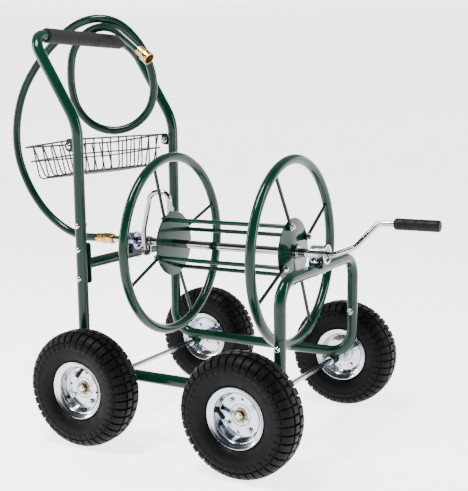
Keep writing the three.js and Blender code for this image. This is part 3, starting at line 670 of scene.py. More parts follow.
def tyre_mesh():
    """Tyre round its own Z axis: carcass, staggered centre blocks, two tiers of shoulder lugs, vent hairs."""
    bm = bmesh.new()
    rows = TYRE_ROWS + [(r, -h, "b" if kind == "a" else kind, lift) for r, h, kind, lift in reversed(TYRE_ROWS)]
    profile = [Vector(row[:2]) for row in rows]
    normals = []
    for i in range(len(profile)):
        d = profile[min(i + 1, len(profile) - 1)] - profile[max(i - 1, 0)]
        normals.append(Vector((-d.y, d.x)).normalized() * -1 if d.length else Vector((1, 0)))
    angles = []
    for pitch in range(PITCHES):
        angles += [((pitch + share) / PITCHES * TAU, in_step, out_step) for share, in_step, out_step in COLUMNS]
    grid = []
    for angle, in_step, out_step in angles:
        line = []
        for (r, h, kind, lift), normal in zip(rows, normals):
            outward = normal if normal.x * 0.3 + normal.y * math.copysign(1, h) + normal.x > 0 else -normal
            staggered = kind == "b" or kind in ("s", "t") and h < 0
            on_block = kind == "" or (out_step if staggered else in_step)
            raised = lift if on_block else 0
            point = Vector((r, h)) + outward * raised
            line.append(bm.verts.new((point.x * MM * math.cos(angle), point.x * MM * math.sin(angle),
                                      point.y * MM)))
        grid.append(line)
    for i in range(len(grid)):
        here, there = grid[i], grid[(i + 1) % len(grid)]
        for k in range(len(rows) - 1):
            bm.faces.new((here[k], there[k], there[k + 1], here[k + 1]))
    for turn, height, length in ((18, 20, 7), (64, 14, 5), (97, -17, 6), (141, 24, 8), (188, 12, 5), (203, 26, 7),
                                 (214, 22, 6), (262, -20, 7), (305, 16, 5), (341, -12, 6)):
        angle = math.radians(turn)
        out = Vector((math.cos(angle), math.sin(angle), height / 160))
        foot = Vector((out.x * 122 * MM, out.y * 122 * MM, height * MM))
        bow = Vector((-out.y, out.x, 0.4)) * 1.2 * MM
        sweep(bm, [foot, foot + out * (5 + length * 0.5) * MM + bow * 0.3, foot + out * (6 + length) * MM + bow],
              [0.45 * MM, 0.35 * MM, 0.2 * MM], 6)
    return finished(bm, "tyre_shape")


BOLT_CIRCLE_R = 35 * MM


def on_circle(radius, degrees, height=0.0):
    return Vector((radius * math.cos(math.radians(degrees)), radius * math.sin(math.radians(degrees)), height))


def finished(bm, name):
    """The bmesh as a mesh with outward faces."""
    bmesh.ops.recalc_face_normals(bm, faces=bm.faces)
    mesh = bpy.data.meshes.new(name)
    bm.to_mesh(mesh)
    bm.free()
    return mesh


def rim_mesh(outer):
    """Half rim round its own Z axis: rolled flange, bead seat, drop barrel, web with a pressed ring and bolts."""
    bm = bmesh.new()
    section = [(44.5, 0.35), (47.6, 0.35), (49.2, 2.0), (50.2, 5.5), (52.8, 20.8), (55, 22.8), (60.5, 24.8),
               (63.2, 26.6), (64.2, 27.8), (63.9, 29.0), (62.8, 29.3), (61.6, 28.7), (60.0, 27.4), (58, 26.4),
               (52.6, 24.6), (50.8, 22.6), (50.0, 20), (47.6, 6.5), (46.6, 4.0), (45.4, 3.0), (44.5, 2.9),
               (44.5, 0.35)]
    turned(bm, section, 96)
    openings = [circle(3.8 * MM, 20, on_circle(BOLT_CIRCLE_R, a)[:2]) for a in (45, 225)]
    openings.append(circle(16.6 * MM, 64))
    plate(bm, circle(46 * MM, 96), openings, 2.5 * MM, Matrix.Translation((0, 0, 1.6 * MM)))
    ring = [(20.4, 2.7), (20.8, 3.5), (21.6, 4.1), (22.8, 4.1), (23.6, 3.5), (24, 2.7), (20.4, 2.7)]
    turned(bm, ring, 72)
    for degrees in (0, 90, 180, 270):
        foot = on_circle(BOLT_CIRCLE_R, degrees, 2.9 * MM)
        lathe(bm, scaled(WASHER, 0.95, 1), foot, (0, 0, 1), 24)
        if outer:
            nut(bm, foot + Vector((0, 0, 1.0 * MM)), (0, 0, 1), 1.0, degrees)
            thread(bm, foot + Vector((0, 0, 1.0 * MM)), (0, 0, 1), 3.0, 7.5)
        else:
            head = rounded([(0, 1), (6.1, 1), (6.1, 4.2), (5.2, 5), (0, 5)], 0.5, 2)
            lathe(bm, head, foot, (0, 0, 1), 6)
    return finished(bm, "rim_outer_shape" if outer else "rim_inner_shape")


def hub_mesh():
    """Hub tube with a ball bearing pressed into each end; its long end points to the cart."""
    bm = bmesh.new()
    shell = sleeve(14.2, 16, -38, 3.4, 0.5, 2)
    turned(bm, shell, 56)
    for end, side in ((3.4, 1), (38, -1)):
        race = sleeve(12.6, 14.1, end - 4, end - 0.5, 0.3, 2)
        inner = sleeve(6.9, 8.9, end - 4, end, 0.3, 2)
        shield = [(8.8, end - 2), (9.6, end - 1.2), (11.8, end - 1.2), (12.7, end - 2), (12.7, end - 2.6),
                  (8.8, end - 2.6), (8.8, end - 2)]
        for profile, sides in ((race, 56), (inner, 40), (shield, 40)):
            lathe(bm, profile, (0, 0, 0), (0, 0, side), sides)
    return finished(bm, "hub_shape")


def valve_mesh():
    """Valve stem: rubber boss at the barrel, tapered stem bent aside, and a ribbed cap."""
    bm = bmesh.new()
    foot = on_circle(49 * MM, 135, 12 * MM)
    inward = (on_circle(30 * MM, 151, 21 * MM) - foot).normalized()
    profile = [(0, -1), (6.6, -1), (6.4, 1.5), (5.0, 3.0), (4.3, 9), (4.1, 13), (4.6, 13.2)]
    for k in range(6):
        profile += [(4.7, 13.8 + k * 1.7), (4.35, 14.8 + k * 1.7)]
    profile += [(4.6, 24.6), (4.0, 25.6), (0, 25.8)]
    lathe(bm, profile, foot, inward, 28)
    return finished(bm, "valve_shape")


def axle_nut_mesh():
    """Washer and hexagon nut, with a split pin through the axle's end that reaches past the nut on one side."""
    bm = bmesh.new()
    turned(bm, sleeve(6.7, 14.8, 0, 1.9, 0.5), 48)
    body = [(6.7, 2.1), (9.8, 2.1), (11, 3.0), (11, 8.0), (9.8, 9.0), (6.7, 9.0), (6.7, 2.1)]
    turned(bm, body, 6, 0.4)
    for k in (-0.45, 0.45):
        pin = [on_circle(8.2 * MM, 142, 9.9 * MM), on_circle(0, 0, 9.9 * MM),
               on_circle(11 * MM, -42 + 3 * k, 9.7 * MM), on_circle(19.5 * MM, -42 + 14 * k, 7.6 * MM)]
        sweep(bm, pin, 0.8 * MM, 8, dome=0.6 * MM)
    return finished(bm, "axle_nut_shape")


# Turn of each wheel about its axle at rest, in degrees.
WHEEL_TURNS = {"rear_right": -54, "rear_left": 40, "front_right": 36.5, "front_left": 150}


def make_wheels():
    tyre = tyre_mesh()
    rims = {"outer": rim_mesh(True), "inner": rim_mesh(False)}
    hub = hub_mesh()
    valve = valve_mesh()
    axle_nut = axle_nut_mesh()
    for name, turn in WHEEL_TURNS.items():
        place = joint_place(f"{name}_wheel_spin")
        side = math.copysign(1, place.y)
        # Local Z points outwards along the axle; local X stays forward and local Y stays up.
        outward = Matrix(((-side, 0, 0), (0, 0, side), (0, 1, 0))).to_4x4()
        at = Matrix.Translation(place) @ outward @ Matrix.Rotation(math.radians(turn), 4, "Z")
        flipped = at @ Matrix.Rotation(math.pi, 4, "X")
        body = f"{name}_wheel"
        piece_of(f"{name}_tyre_tread", tyre, TYRE, body, [f"{name}_tyre"], 34, at)
        piece_of(f"{name}_rim_face", rims["outer"], ZINC, body, [f"{name}_rim_outer"], 34, at)
        piece_of(f"{name}_rim_back", rims["inner"], ZINC, body, [f"{name}_rim_inner"], 34, flipped)
        piece_of(f"{name}_hub_tube", hub, ZINC, body, [f"{name}_hub"], 34, at)
        piece_of(f"{name}_valve", valve, RUBBER, body, [], 40, at)
        nut_at = Matrix.Translation(place + Vector((0, side * 3.7 * MM, 0))) @ outward
        piece_of(f"{name}_pinned_nut", axle_nut, YELLOW_ZINC, "frame", [f"{name}_axle_nut"], 34,
                 nut_at)


make_wheels()

# ---- Axles ----


def make_axle(end):
    place = joint_place(f"{end}_left_wheel_spin")
    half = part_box(f"{end}_axle")[1].y
    bm = bmesh.new()
    end_part = [(0, half / MM), (5.0, half / MM - 0.2), (6.3, half / MM - 1.6), (6.35, 0)]
    collar = sleeve(6.3, 10.5, 206.6, 216, 0.8)
    spacer = sleeve(6.3, 8.6, 216.4, 231.6, 0.5, 2)
    inner = sleeve(6.3, 9.8, 175, 184, 0.8)
    for side in (-1, 1):
        for profile, sides in ((end_part, 32), (collar, 40), (spacer, 32), (inner, 40)):
            lathe(bm, profile, (place.x, 0, place.z), (0, side, 0), sides)
    piece(f"{end}_axle_rod", bm, ZINC, "frame", [f"{end}_axle"], 34)


make_axle("rear")
make_axle("front")

# ---- Frame ----


def make_bolts():
    """Round-headed through bolts with washers, locknuts and thread ends, one for each CAD bolt."""
    for node in sorted(frame["nodes"]):
        if not node.endswith("_bolt"):
            continue
        low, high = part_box(node)
        middle = (low + high) / 2
        side = 1 if node.startswith("left") else -1
        outer, inner = (high.y, low.y) if side > 0 else (low.y, high.y)
        bm = bmesh.new()
        head_foot = Vector((middle.x, outer - side * 4.5 * MM, middle.z))
        dome = [(0, 4.5), (1.8, 4.4), (3.6, 3.9), (5.1, 3.0), (6.1, 1.8), (6.5, 0.7), (6.4, 0.1), (0, 0.1)]
        lathe(bm, dome, head_foot, (0, side, 0), 32)
        sweep(bm, [head_foot, Vector((middle.x, inner, middle.z))], 2.9 * MM, 16)
        nut_foot = Vector((middle.x, inner + side * 5.4 * MM, middle.z))
        lathe(bm, scaled(WASHER, 1.0, 0.7), nut_foot + Vector((0, side * 0.75 * MM, 0)), (0, -side, 0), 28)
        nut(bm, nut_foot, (0, -side, 0), 1.0, middle.z * 50)
        thread(bm, Vector((middle.x, inner, middle.z)), (0, -side, 0), 2.9, 3.4)
        piece(node.replace("_bolt", "_screw"), bm, ZINC, "frame", [node], 34)


def tube_end(bm, x, y, z, direction):
    """A slightly rolled tube mouth round a joint."""
    lip = [(12.75, 0), (12.95, 0.5), (12.95, 1.4), (12.7, 2.2)]
    lathe(bm, lip, (x, y, z), (0, 0, direction), 40)


def joint_plugs(bm, x, bottom):
    """Both lower ends of a bent tube: the rolled mouth, and the plug that reaches into the side frame."""
    for y in (-FRAME_Y, FRAME_Y):
        tube_end(bm, x, y, bottom, 1)
        sweep(bm, [(x, y, bottom + 2 * MM), (x, y, bottom - 40 * MM)], 10.9 * MM, 28, dome=1 * MM)


def make_side_frame(side_name, y):
    bm = bmesh.new()
    corners = [(UPRIGHT_X, y, REAR_JOINT_Z), (UPRIGHT_X, y, RAIL_Z), (FRONT_LEG_X, y, RAIL_Z),
               (FRONT_LEG_X, y, FRONT_JOINT_Z)]
    points = bent(corners, [57 * MM, 57 * MM], 12 * MM)
    sweep(bm, points, TUBE_R, 36)
    tube_end(bm, UPRIGHT_X, y, REAR_JOINT_Z, -1)
    tube_end(bm, FRONT_LEG_X, y, FRONT_JOINT_Z, -1)
    for end in ("rear", "front"):
        axle = joint_place(f"{end}_left_wheel_spin")
        outline = [(-13 * MM, RAIL_Z - axle.z + 4 * MM), (-13 * MM, 0)]
        outline += [tuple(on_circle(13 * MM, a)[:2]) for a in range(195, 360, 15)]
        outline += [(13 * MM, 0), (13 * MM, RAIL_Z - axle.z + 4 * MM)]
        for offset in (-8.5, 8.5):
            place = upright(axle.x, y + offset * MM, axle.z)
            plate(bm, outline, [circle(6.7 * MM, 28)], 3 * MM, place)
        lathe(bm, sleeve(6.7, 9.6, -10, 10, 0.6, 2), (axle.x, y, axle.z), (0, 1, 0), 36)
        for sign in (-1, 1):
            for across in (-1, 1):
                run = [Vector((axle.x + sign * (3 + k) * MM, y + across * 9.6 * MM, RAIL_Z - 9.3 * MM))
                       for k in range(0, 11)]
                radii = [1.5 * MM * (1 + 0.22 * math.sin(k * 1.9)) for k in range(len(run))]
                sweep(bm, run, radii, 8, dome=0.8 * MM)
    piece(f"frame_side_{side_name}", bm, GREEN, "frame", [f"{side_name}_side_frame"], 40)


def make_handle():
    bm = bmesh.new()
    bottom = REAR_JOINT_Z + 0.3 * MM
    corners = [(UPRIGHT_X, -FRAME_Y, bottom), (UPRIGHT_X, -FRAME_Y, HANDLE_BEND_Z), (GRIP_X, -FRAME_Y, GRIP_Z),
               (GRIP_X, FRAME_Y, GRIP_Z), (UPRIGHT_X, FRAME_Y, HANDLE_BEND_Z), (UPRIGHT_X, FRAME_Y, bottom)]
    sweep(bm, bent(corners, [110 * MM, 50 * MM, 50 * MM, 110 * MM], 12 * MM), TUBE_R, 36)
    joint_plugs(bm, UPRIGHT_X, bottom)
    piece("handle_tube", bm, GREEN, "frame", ["handle_loop"], 40)

    bm = bmesh.new()
    for bolt, y in ((centre("right_basket_bolt"), -FRAME_Y), (centre("left_basket_bolt"), FRAME_Y)):
        reach = UPRIGHT_X - TUBE_R - bolt.x + 1 * MM
        outline = [(reach, -13 * MM), (reach, 13 * MM)]
        outline += [tuple(on_circle(12 * MM, a)[:2]) for a in range(85, 280, 15)]
        place = upright(bolt.x, y, bolt.z)
        plate(bm, outline, [circle(3.4 * MM, 20)], 3 * MM, place)
    piece("basket_lugs", bm, WIRE, "frame", [], 40)

    low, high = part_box("handle_foam_grip")
    bm = bmesh.new()
    radius, half = 17.4, (high.y - low.y) / 2 / MM
    profile = [(12.9, -half), (15.4, -half), (16.7, -half + 0.6), (17.3, -half + 1.9)]
    steps = 46
    for k in range(steps + 1):
        h = -half + 3 + (2 * half - 6) * k / steps
        profile.append((radius - 0.16 * (1 + math.sin(h * 0.13)) - 0.1 * (1 + math.sin(h * 0.41 + 1)), h))
    profile += [(17.3, half - 1.9), (16.7, half - 0.6), (15.4, half), (12.9, half), (12.9, -half)]
    lathe(bm, profile, (GRIP_X, 0, GRIP_Z), (0, 1, 0), 48)
    grip = piece("foam_sleeve", bm, FOAM, "frame", ["handle_foam_grip"], 50)
    bm = bmesh.new()
    for side in (-1, 1):
        band = sleeve(12.75, 15.6, half + 0.2, half + 3.4, 0.7)
        lathe(bm, band, (GRIP_X, 0, GRIP_Z), (0, side, 0), 40)
    piece("foam_end_bands", bm, RUBBER, "frame", [], 40)


def make_hoop():
    bm = bmesh.new()
    bottom = FRONT_JOINT_Z + 0.3 * MM
    corners = [(FRONT_LEG_X, -FRAME_Y, bottom), (FRONT_LEG_X, -FRAME_Y, SUPPORT_Z),
               (FRONT_LEG_X, FRAME_Y, SUPPORT_Z), (FRONT_LEG_X, FRAME_Y, bottom)]
    sweep(bm, bent(corners, [50 * MM, 50 * MM], 12 * MM), TUBE_R, 36)
    joint_plugs(bm, FRONT_LEG_X, bottom)
    piece("hoop_tube", bm, GREEN, "frame", ["front_hoop"], 40)


def make_cross_member():
    low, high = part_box("rear_cross_member")
    plate_t = 4 * MM
    bolt_z = [centre(f"right_cross_member_{k}_bolt").z for k in ("lower", "upper")]
    bm = bmesh.new()
    middle_z = (low.z + high.z) / 2
    sweep(bm, [(UPRIGHT_X, low.y + 2 * MM, SUPPORT_Z), (UPRIGHT_X, high.y - 2 * MM, SUPPORT_Z)], TUBE_R, 36)
    for side in (-1, 1):
        y = side * (high.y - plate_t / 2)
        place = upright(UPRIGHT_X, y, middle_z)
        holes = [circle(3.4 * MM, 20, (0, z - middle_z)) for z in bolt_z]
        plate(bm, rounded_box(28 * MM, high.z - low.z, 6 * MM), holes, plate_t, place)
        weld(bm, (UPRIGHT_X, side * (high.y - plate_t - 1 * MM), SUPPORT_Z), (0, 1, 0), TUBE_R + 0.6 * MM,
             1.6 * MM, 48)
    piece("cross_member_tube", bm, GREEN, "frame", ["rear_cross_member"], 40)


make_bolts()
make_side_frame("right", -FRAME_Y)
make_side_frame("left", FRAME_Y)
make_handle()
make_hoop()
make_cross_member()

# ---- Bearings ----


def make_bearing(node, name, x, metal):
    """Bearing block on a support tube: finned barrel, ring flange on its outer side, saddle and screws."""
    bm = bmesh.new()
    origin = (x, 0, REEL_Z)
    barrel = [(9.9, -19.6), (15.6, -19.6), (17.2, -18.6), (17.2, -15.6), (18.8, -14.6)]
    for k in range(5):
        start = -13.2 + k * 5
        barrel += [(18.8, start), (17.9, start + 0.6), (17.9, start + 1.6), (18.8, start + 2.2)]
    barrel += [(18.8, 12.6), (20, 13.4), (22, 14.2), (22, 18.6), (21.2, 19.6), (17, 19.6), (16.2, 18.6),
               (16.2, 15.4), (9.9, 15.4), (9.9, -19.6)]
    lathe(bm, barrel, origin, (1, 0, 0), 64)
    piece(name, bm, metal, "frame", [node], 34)

    bm = bmesh.new()
    outline = [tuple(on_circle(20.4 * MM, a)[:2]) for a in range(-150, -29, 10)]
    outline += [(21 * MM, -28 * MM), (-21 * MM, -28 * MM)]
    for offset in (-15.6, 15.6):
        place = Matrix(((0, 0, 1, x + offset * MM), (1, 0, 0, 0), (0, 1, 0, REEL_Z), (0, 0, 0, 1)))
        plate(bm, outline, [], 2.4 * MM, place)
    for side in (-1, 1):
        foot = Vector((x, side * 24 * MM, SUPPORT_Z + TUBE_R - 0.3 * MM))
        tab = Matrix.Translation(foot + Vector((0, -side * 2 * MM, 0.8 * MM)))
        plate(bm, rounded_box(31 * MM, 9 * MM, 2 * MM), [], 2.0 * MM, tab)
    piece(f"{name}_saddle", bm, WIRE, "frame", [], 34)

    bm = bmesh.new()
    for side in (-1, 1):
        foot = Vector((x, side * 22.5 * MM, SUPPORT_Z + TUBE_R + 1.6 * MM))
        nut(bm, foot, (0, 0, 1), 0.85, 0.4)
        thread(bm, foot + Vector((0, 0, 3 * MM)), (0, 0, 1), 2.5, 4.6)
        below = Vector((x, side * 22.5 * MM, SUPPORT_Z - TUBE_R + 0.6 * MM))
        dome = [(0, 3.2), (2.4, 2.9), (4.3, 1.8), (5.0, 0), (0, 0)]
        lathe(bm, dome, below, (0, 0, -1), 24)
    piece(f"{name}_screws", bm, ZINC, "frame", [], 34)


make_bearing("front_bearing_block", "front_bearing", FRONT_LEG_X, ZINC)
make_bearing("rear_swivel_bearing", "rear_bearing", UPRIGHT_X, BLUE_ZINC)

# ---- Basket ----


def make_basket():
    """Welded wire basket, a tray that narrows downwards: grid floor, walls, two rails, weld at crossings."""
    front_x, rim_z, length, depth = -312 * MM, 670 * MM, 155 * MM, 75 * MM
    half_y = 176 * MM
    wire = 1.78 * MM

    def at(back, down, y):
        return Vector((front_x - (length - 17 * MM * down) * back, y, rim_z - 21 * MM * back - depth * down))

    def half(down):
        return half_y - 24 * MM * down

    bm = bmesh.new()
    cross = [32 * MM * (i - 4.5) for i in range(10)]
    along = [0.1, 0.28, 0.46, 0.64, 0.82]
    for y in cross:
        corners = [at(0, 0, y), at(0, 1, y), at(1, 1, y), at(1, 0, y)]
        sweep(bm, bent(corners, [13 * MM, 13 * MM]), wire, 10, dome=0.8 * MM)
    raised = 1 - 2.4 * MM / depth
    for back in along:
        corners = [at(back, 0, -half_y), at(back, raised, -half(1)), at(back, raised, half(1)),
                   at(back, 0, half_y)]
        sweep(bm, bent(corners, [13 * MM, 13 * MM]), wire, 10, dome=0.8 * MM)
    for down, radius, corner in ((0, 2.1 * MM, 9 * MM), (0.44, 1.75 * MM, 5 * MM)):
        loop = [at(0, down, 0), at(0, down, half(down)), at(1, down, half(down)), at(1, down, -half(down)),
                at(0, down, -half(down)), at(0, down, 0)]
        sweep(bm, bent(loop, [corner] * 4)[:-1], radius, 12, closed=True)
    bead = [(0, -2.6), (1.5, -2.0), (2.4, -0.6), (2.4, 0.6), (1.5, 2.0), (0, 2.6)]
    for y in cross:
        for back in (0, 1):
            for down in (0, 0.44):
                lathe(bm, bead, at(back, down, y), (0, 1, 0), 8)
        for back in along:
            lathe(bm, bead, at(back, 1 - 1.2 * MM / depth, y), (0, 0, 1), 8)
    for side in (-1, 1):
        for back in along:
            for down in (0, 0.44):
                lathe(bm, bead, at(back, down, side * half(down)), (1, 0, 0), 8)
        bolt = centre("left_basket_bolt" if side > 0 else "right_basket_bolt")
        eye_y = side * (FRAME_Y - 3.3 * MM)
        place = upright(bolt.x, eye_y, bolt.z + 4 * MM)
        plate(bm, rounded_box(18 * MM, 26 * MM, 4 * MM), [circle(3.4 * MM, 20, (0, -4 * MM))], 2.8 * MM, place)
        sweep(bm, [at(0, 0.01, side * (half_y - 4 * MM)), at(0, 0.01, eye_y)], 2.0 * MM, 12, dome=0.8 * MM)
    piece("basket_wires", bm, WIRE, "frame", ["wire_basket"], 40)


make_basket()

# ---- Reel ----


def on_reel(x, radius, angle):
    return Vector((x, radius * math.cos(angle), REEL_Z + radius * math.sin(angle)))


def make_ring(name, node, x, outward):
    """Bent tube ring with bend ripples beside its butt weld, four welded spokes, and flattened eyes."""
    bm = bmesh.new()
    steps = 240
    points, radii = [], []
    for i in range(steps):
        angle = TAU * i / steps
        points.append(on_reel(x, RING_R, angle))
        near = math.exp(-((math.degrees(angle) - 294) / 9) ** 2)
        radii.append(RING_TUBE_R * (1 + 0.022 * near * math.sin(i * TAU / 3.4)))
    sweep(bm, points, radii, 28, closed=True)
    seam = math.radians(306)
    along = (0, -math.sin(seam), math.cos(seam))
    weld(bm, on_reel(x, RING_R, seam), along, RING_TUBE_R + 0.1 * MM, 0.9 * MM, 44)
    spokes = bmesh.new()
    for angle in STUD_ANGLES:
        start = on_reel(x + outward * EYE_OFFSET, TIE_R, angle)
        knee = on_reel(x + outward * EYE_OFFSET, 82 * MM, angle)
        end = on_reel(x, RING_R - 5 * MM, angle + outward * SPOKE_LEAN)
        sweep(spokes, bent([start, knee, end], [60 * MM], 20 * MM), 3.9 * MM, 16)
        along = (end - knee).normalized()
        weld(spokes, on_reel(x, RING_R - RING_TUBE_R - 0.2 * MM, angle + outward * SPOKE_LEAN), along, 4.3 * MM,
             1.3 * MM, 22)
        eye = sleeve(3.4, 8, -3.6, 3.6, 1.2)
        lathe(spokes, eye, start, (1, 0, 0), 28)
    # The spokes and eyes take the darker copy of the green paint: painted shade inside the reel.
    piece(name.replace("ring_tube", "spokes"), spokes, SHADED_GREEN, "reel", [], 40)
    piece(name, bm, GREEN, "reel", [node], 40)


def make_disc(name, node, x, outward):
    """Pressed hub disc with a rolled edge and a raised boss round the shaft."""
    bm = bmesh.new()
    t = 1.5
    profile = [(9.9, -t), (73.6, -t), (75.6, -t + 0.5), (76, 0), (75.6, t - 0.3), (74.2, t), (17, t),
               (15, t + 1.0), (12, t + 1.2), (9.9, t + 1.0), (9.9, -t)]
    lathe(bm, profile, (x, 0, REEL_Z), (outward, 0, 0), 96)
    piece(name, bm, GREEN, "reel", [node], 34)


def make_tie_bars():
    for number, angle in enumerate(STUD_ANGLES, 1):
        bm = bmesh.new()
        rear = on_reel(REAR_DISC_X + 1.8 * MM, TIE_R, angle)
        front = on_reel(FRONT_DISC_X - 1.8 * MM, TIE_R, angle)
        sweep(bm, [rear, front], 5 * MM, 24, dome=0.6 * MM)
        piece(f"tie_rod_{number}", bm, GREEN, "reel", [f"reel_tie_bar_{number}"], 34)
        bm = bmesh.new()
        for ring_x, side in ((REAR_RING_X, -1), (FRONT_RING_X, 1)):
            foot = on_reel(ring_x + side * (EYE_OFFSET + 4.0 * MM), TIE_R, angle)
            lathe(bm, scaled(WASHER, 1.05, 0.8), foot, (side, 0, 0), 28)
            nut(bm, foot + Vector((side * 0.9 * MM, 0, 0)), (side, 0, 0), 1.05, angle)
            sweep(bm, [on_reel(REAR_DISC_X if side < 0 else FRONT_DISC_X, TIE_R, angle), foot], 2.9 * MM, 16)
            thread(bm, foot, (side, 0, 0), 2.9, 8.2)
        piece(f"tie_rod_{number}_nuts", bm, ZINC, "reel", [], 34)


def make_shaft():
    low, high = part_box("reel_shaft")
    bm = bmesh.new()
    length = (high.x - low.x) / MM
    profile = [(0, 0), (8.6, 0), (9.5, 1), (9.5, length - 1), (8.8, length), (6.5, length), (6.5, length - 30),
               (0, length - 30)]
    lathe(bm, profile, (low.x, 0, REEL_Z), (1, 0, 0), 48)
    for x, side in ((REAR_DISC_X, -1), (FRONT_DISC_X, 1)):
        collar = sleeve(9.4, 15, 3.2, 13, 1)
        lathe(bm, collar, (x, 0, REEL_Z), (side, 0, 0), 40)
        foot = Vector((x + side * 8 * MM, 0, REEL_Z + 14.6 * MM))
        nut(bm, foot, (0, 0, 1), 0.8, 0.3)
    piece("shaft_tube", bm, CHROME, "reel", ["reel_shaft"], 34)


def make_gooseneck():
    x = -241 * MM
    nut_z = REEL_Z - 26 * MM
    top_z = REEL_Z + 120 * MM
    end_z = REEL_Z + 42 * MM
    beside = -18.5 * MM
    disc_face = REAR_DISC_X - 1.8 * MM
    leg_x = disc_face - 9.5 * MM
    corners = [(x, beside, nut_z), (x - 3 * MM, beside, REEL_Z + 28 * MM), (x + 12 * MM, -8 * MM, top_z),
               (leg_x, 0, top_z), (leg_x, 0, end_z), (disc_face, 0, end_z)]
    bm = bmesh.new()
    sweep(bm, bent(corners, [40 * MM, 22 * MM, 20 * MM, 9 * MM], 12 * MM), 6.4 * MM, 28)
    collar = rounded([(9.6, -8), (11.6, -8), (11.6, -6), (13, -5), (13, 5), (11.6, 6), (11.6, 8), (9.6, 8),
                      (9.6, -8)], 0.8, 3)
    lathe(bm, collar, (x, 0, REEL_Z), (1, 0, 0), 48)
    sweep(bm, [(x, -7 * MM, REEL_Z - 8 * MM), (x, -7 * MM, nut_z)], 8 * MM, 24, dome=1 * MM)
    sweep(bm, [(x, -7 * MM, nut_z - 1 * MM), (x, beside, nut_z - 1 * MM)], 6.4 * MM, 24, dome=2 * MM)
    big = [(6.6, -4.5), (9.2, -4.5), (10.5, -3.4), (10.5, 6.6), (9.2, 8), (6.6, 8), (6.6, -4.5)]
    lathe(bm, big, (x, beside, nut_z), (0, 0, 1), 6, 0.35)
    ring = sleeve(6.4, 8.4, 8.2, 11.4, 0.8)
    lathe(bm, ring, (x, beside, nut_z), (0, 0, 1), 32)
    flange = rounded([(5.5, 0), (10, 0), (10, 3.4), (8, 5), (5.5, 5), (5.5, 0)], 0.8, 3)
    lathe(bm, flange, (disc_face, 0, end_z), (-1, 0, 0), 36)
    piece("gooseneck_tube", bm, CHROME, "reel", ["gooseneck_pipe"], 34)


make_ring("rear_ring_tube", "rear_reel_ring", REAR_RING_X, -1)
make_ring("front_ring_tube", "front_reel_ring", FRONT_RING_X, 1)
make_disc("rear_disc_plate", "rear_hub_disc", REAR_DISC_X, -1)
make_disc("front_disc_plate", "front_hub_disc", FRONT_DISC_X, 1)
make_tie_bars()
make_shaft()
make_gooseneck()

# ---- Crank ----


def make_crank():
    grip_low, grip_high = CRANK_GRIP_BOX
    grip_middle = (grip_low + grip_high) / 2
    offset = Vector((0, grip_middle.y, grip_middle.z - REEL_Z))
    out = offset.normalized()
    throw = offset.length

    def at(x, distance):
        return Vector((x, 0, REEL_Z)) + out * distance

    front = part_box("reel_shaft")[1].x
    corners = [at(front - 28 * MM, 0), at(238 * MM, 0), at(282 * MM, 20 * MM), at(324 * MM, throw),
               at(grip_high.x - 10 * MM, throw)]
    bm = bmesh.new()
    sweep(bm, bent(corners, [40 * MM, 40 * MM, 24 * MM], 8 * MM), 6.25 * MM, 32, dome=1 * MM)
    stop = sleeve(6.2, 8.6, 0, 2, 0.5, 2)
    lathe(bm, stop, (grip_low.x - 3 * MM, offset.y, REEL_Z + offset.z), (1, 0, 0), 32)
    piece("crank_rod", bm, CHROME, "reel", ["crank_arm"], 40)

    bm = bmesh.new()
    length = (grip_high.x - grip_low.x) / MM
    profile = [(6.7, 0), (9.8, 0), (11.4, 0.6), (12.3, 2), (12.6, 4.2)]
    for start in (26, 47, 68):
        profile += [(12.5, start), (12.1, start + 0.8), (12.1, start + 1.6), (12.5, start + 2.4)]
    profile += [(12.6, length - 6), (12.3, length - 3), (11.2, length - 1), (9.2, length - 0.1), (4.5, length),
                (3.5, length - 0.8), (0, length - 0.9)]
    lathe(bm, profile, (grip_low.x, offset.y, REEL_Z + offset.z), (1, 0, 0), 48)
    piece("crank_sleeve", bm, RUBBER, "crank_handle", ["crank_grip"], 45)


make_crank()

# ---- Water inlet ----


def make_inlet():
    low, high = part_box("water_inlet_pipe")
    bm = bmesh.new()
    length = (high.x - low.x) / MM
    flange = length - 4.5
    profile = [(5, 0), (7.4, 0), (8, 0.8), (8, flange - 12), (9.4, flange - 11), (9.4, flange - 6),
               (8.2, flange - 5), (8.2, flange), (15.2, flange), (16, flange + 0.8), (16, length - 0.8),
               (15.2, length), (10, length), (10, length - 2), (5, length - 3), (5, 0)]
    lathe(bm, profile, (low.x, 0, REEL_Z), (1, 0, 0), 48)
    piece("inlet_pipe", bm, CHROME, "frame", ["water_inlet_pipe"], 34)

    low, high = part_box("inlet_brass_nut")
    length = (high.x - low.x) / MM
    bm = bmesh.new()
    bands = [(5.2, 0), (12.4, 0), (13.4, 1), (13.4, 2.6), (12.6, 3.4), (12.6, 4.2), (13.2, 4.8), (13.2, 8.2),
             (12.2, 9)]
    lathe(bm, bands + [(5.2, 9), (5.2, 0)], (low.x, 0, REEL_Z), (1, 0, 0), 56)
    hexagon = [(8.4, 9), (13.2, 9), (14.5, 10.2), (14.5, length - 4.6), (13.2, length - 3.2), (8.4, length - 3.2),
               (8.4, 9)]
    lathe(bm, hexagon, (low.x, 0, REEL_Z), (1, 0, 0), 6)
    lathe(bm, sleeve(8.4, 11.4, length - 3.4, length, 0.6), (low.x, 0, REEL_Z), (1, 0, 0), 40)
    piece("inlet_union_nut", bm, BRASS, "frame", ["inlet_brass_nut"], 34)


make_inlet()

# ---- Floor and light ----


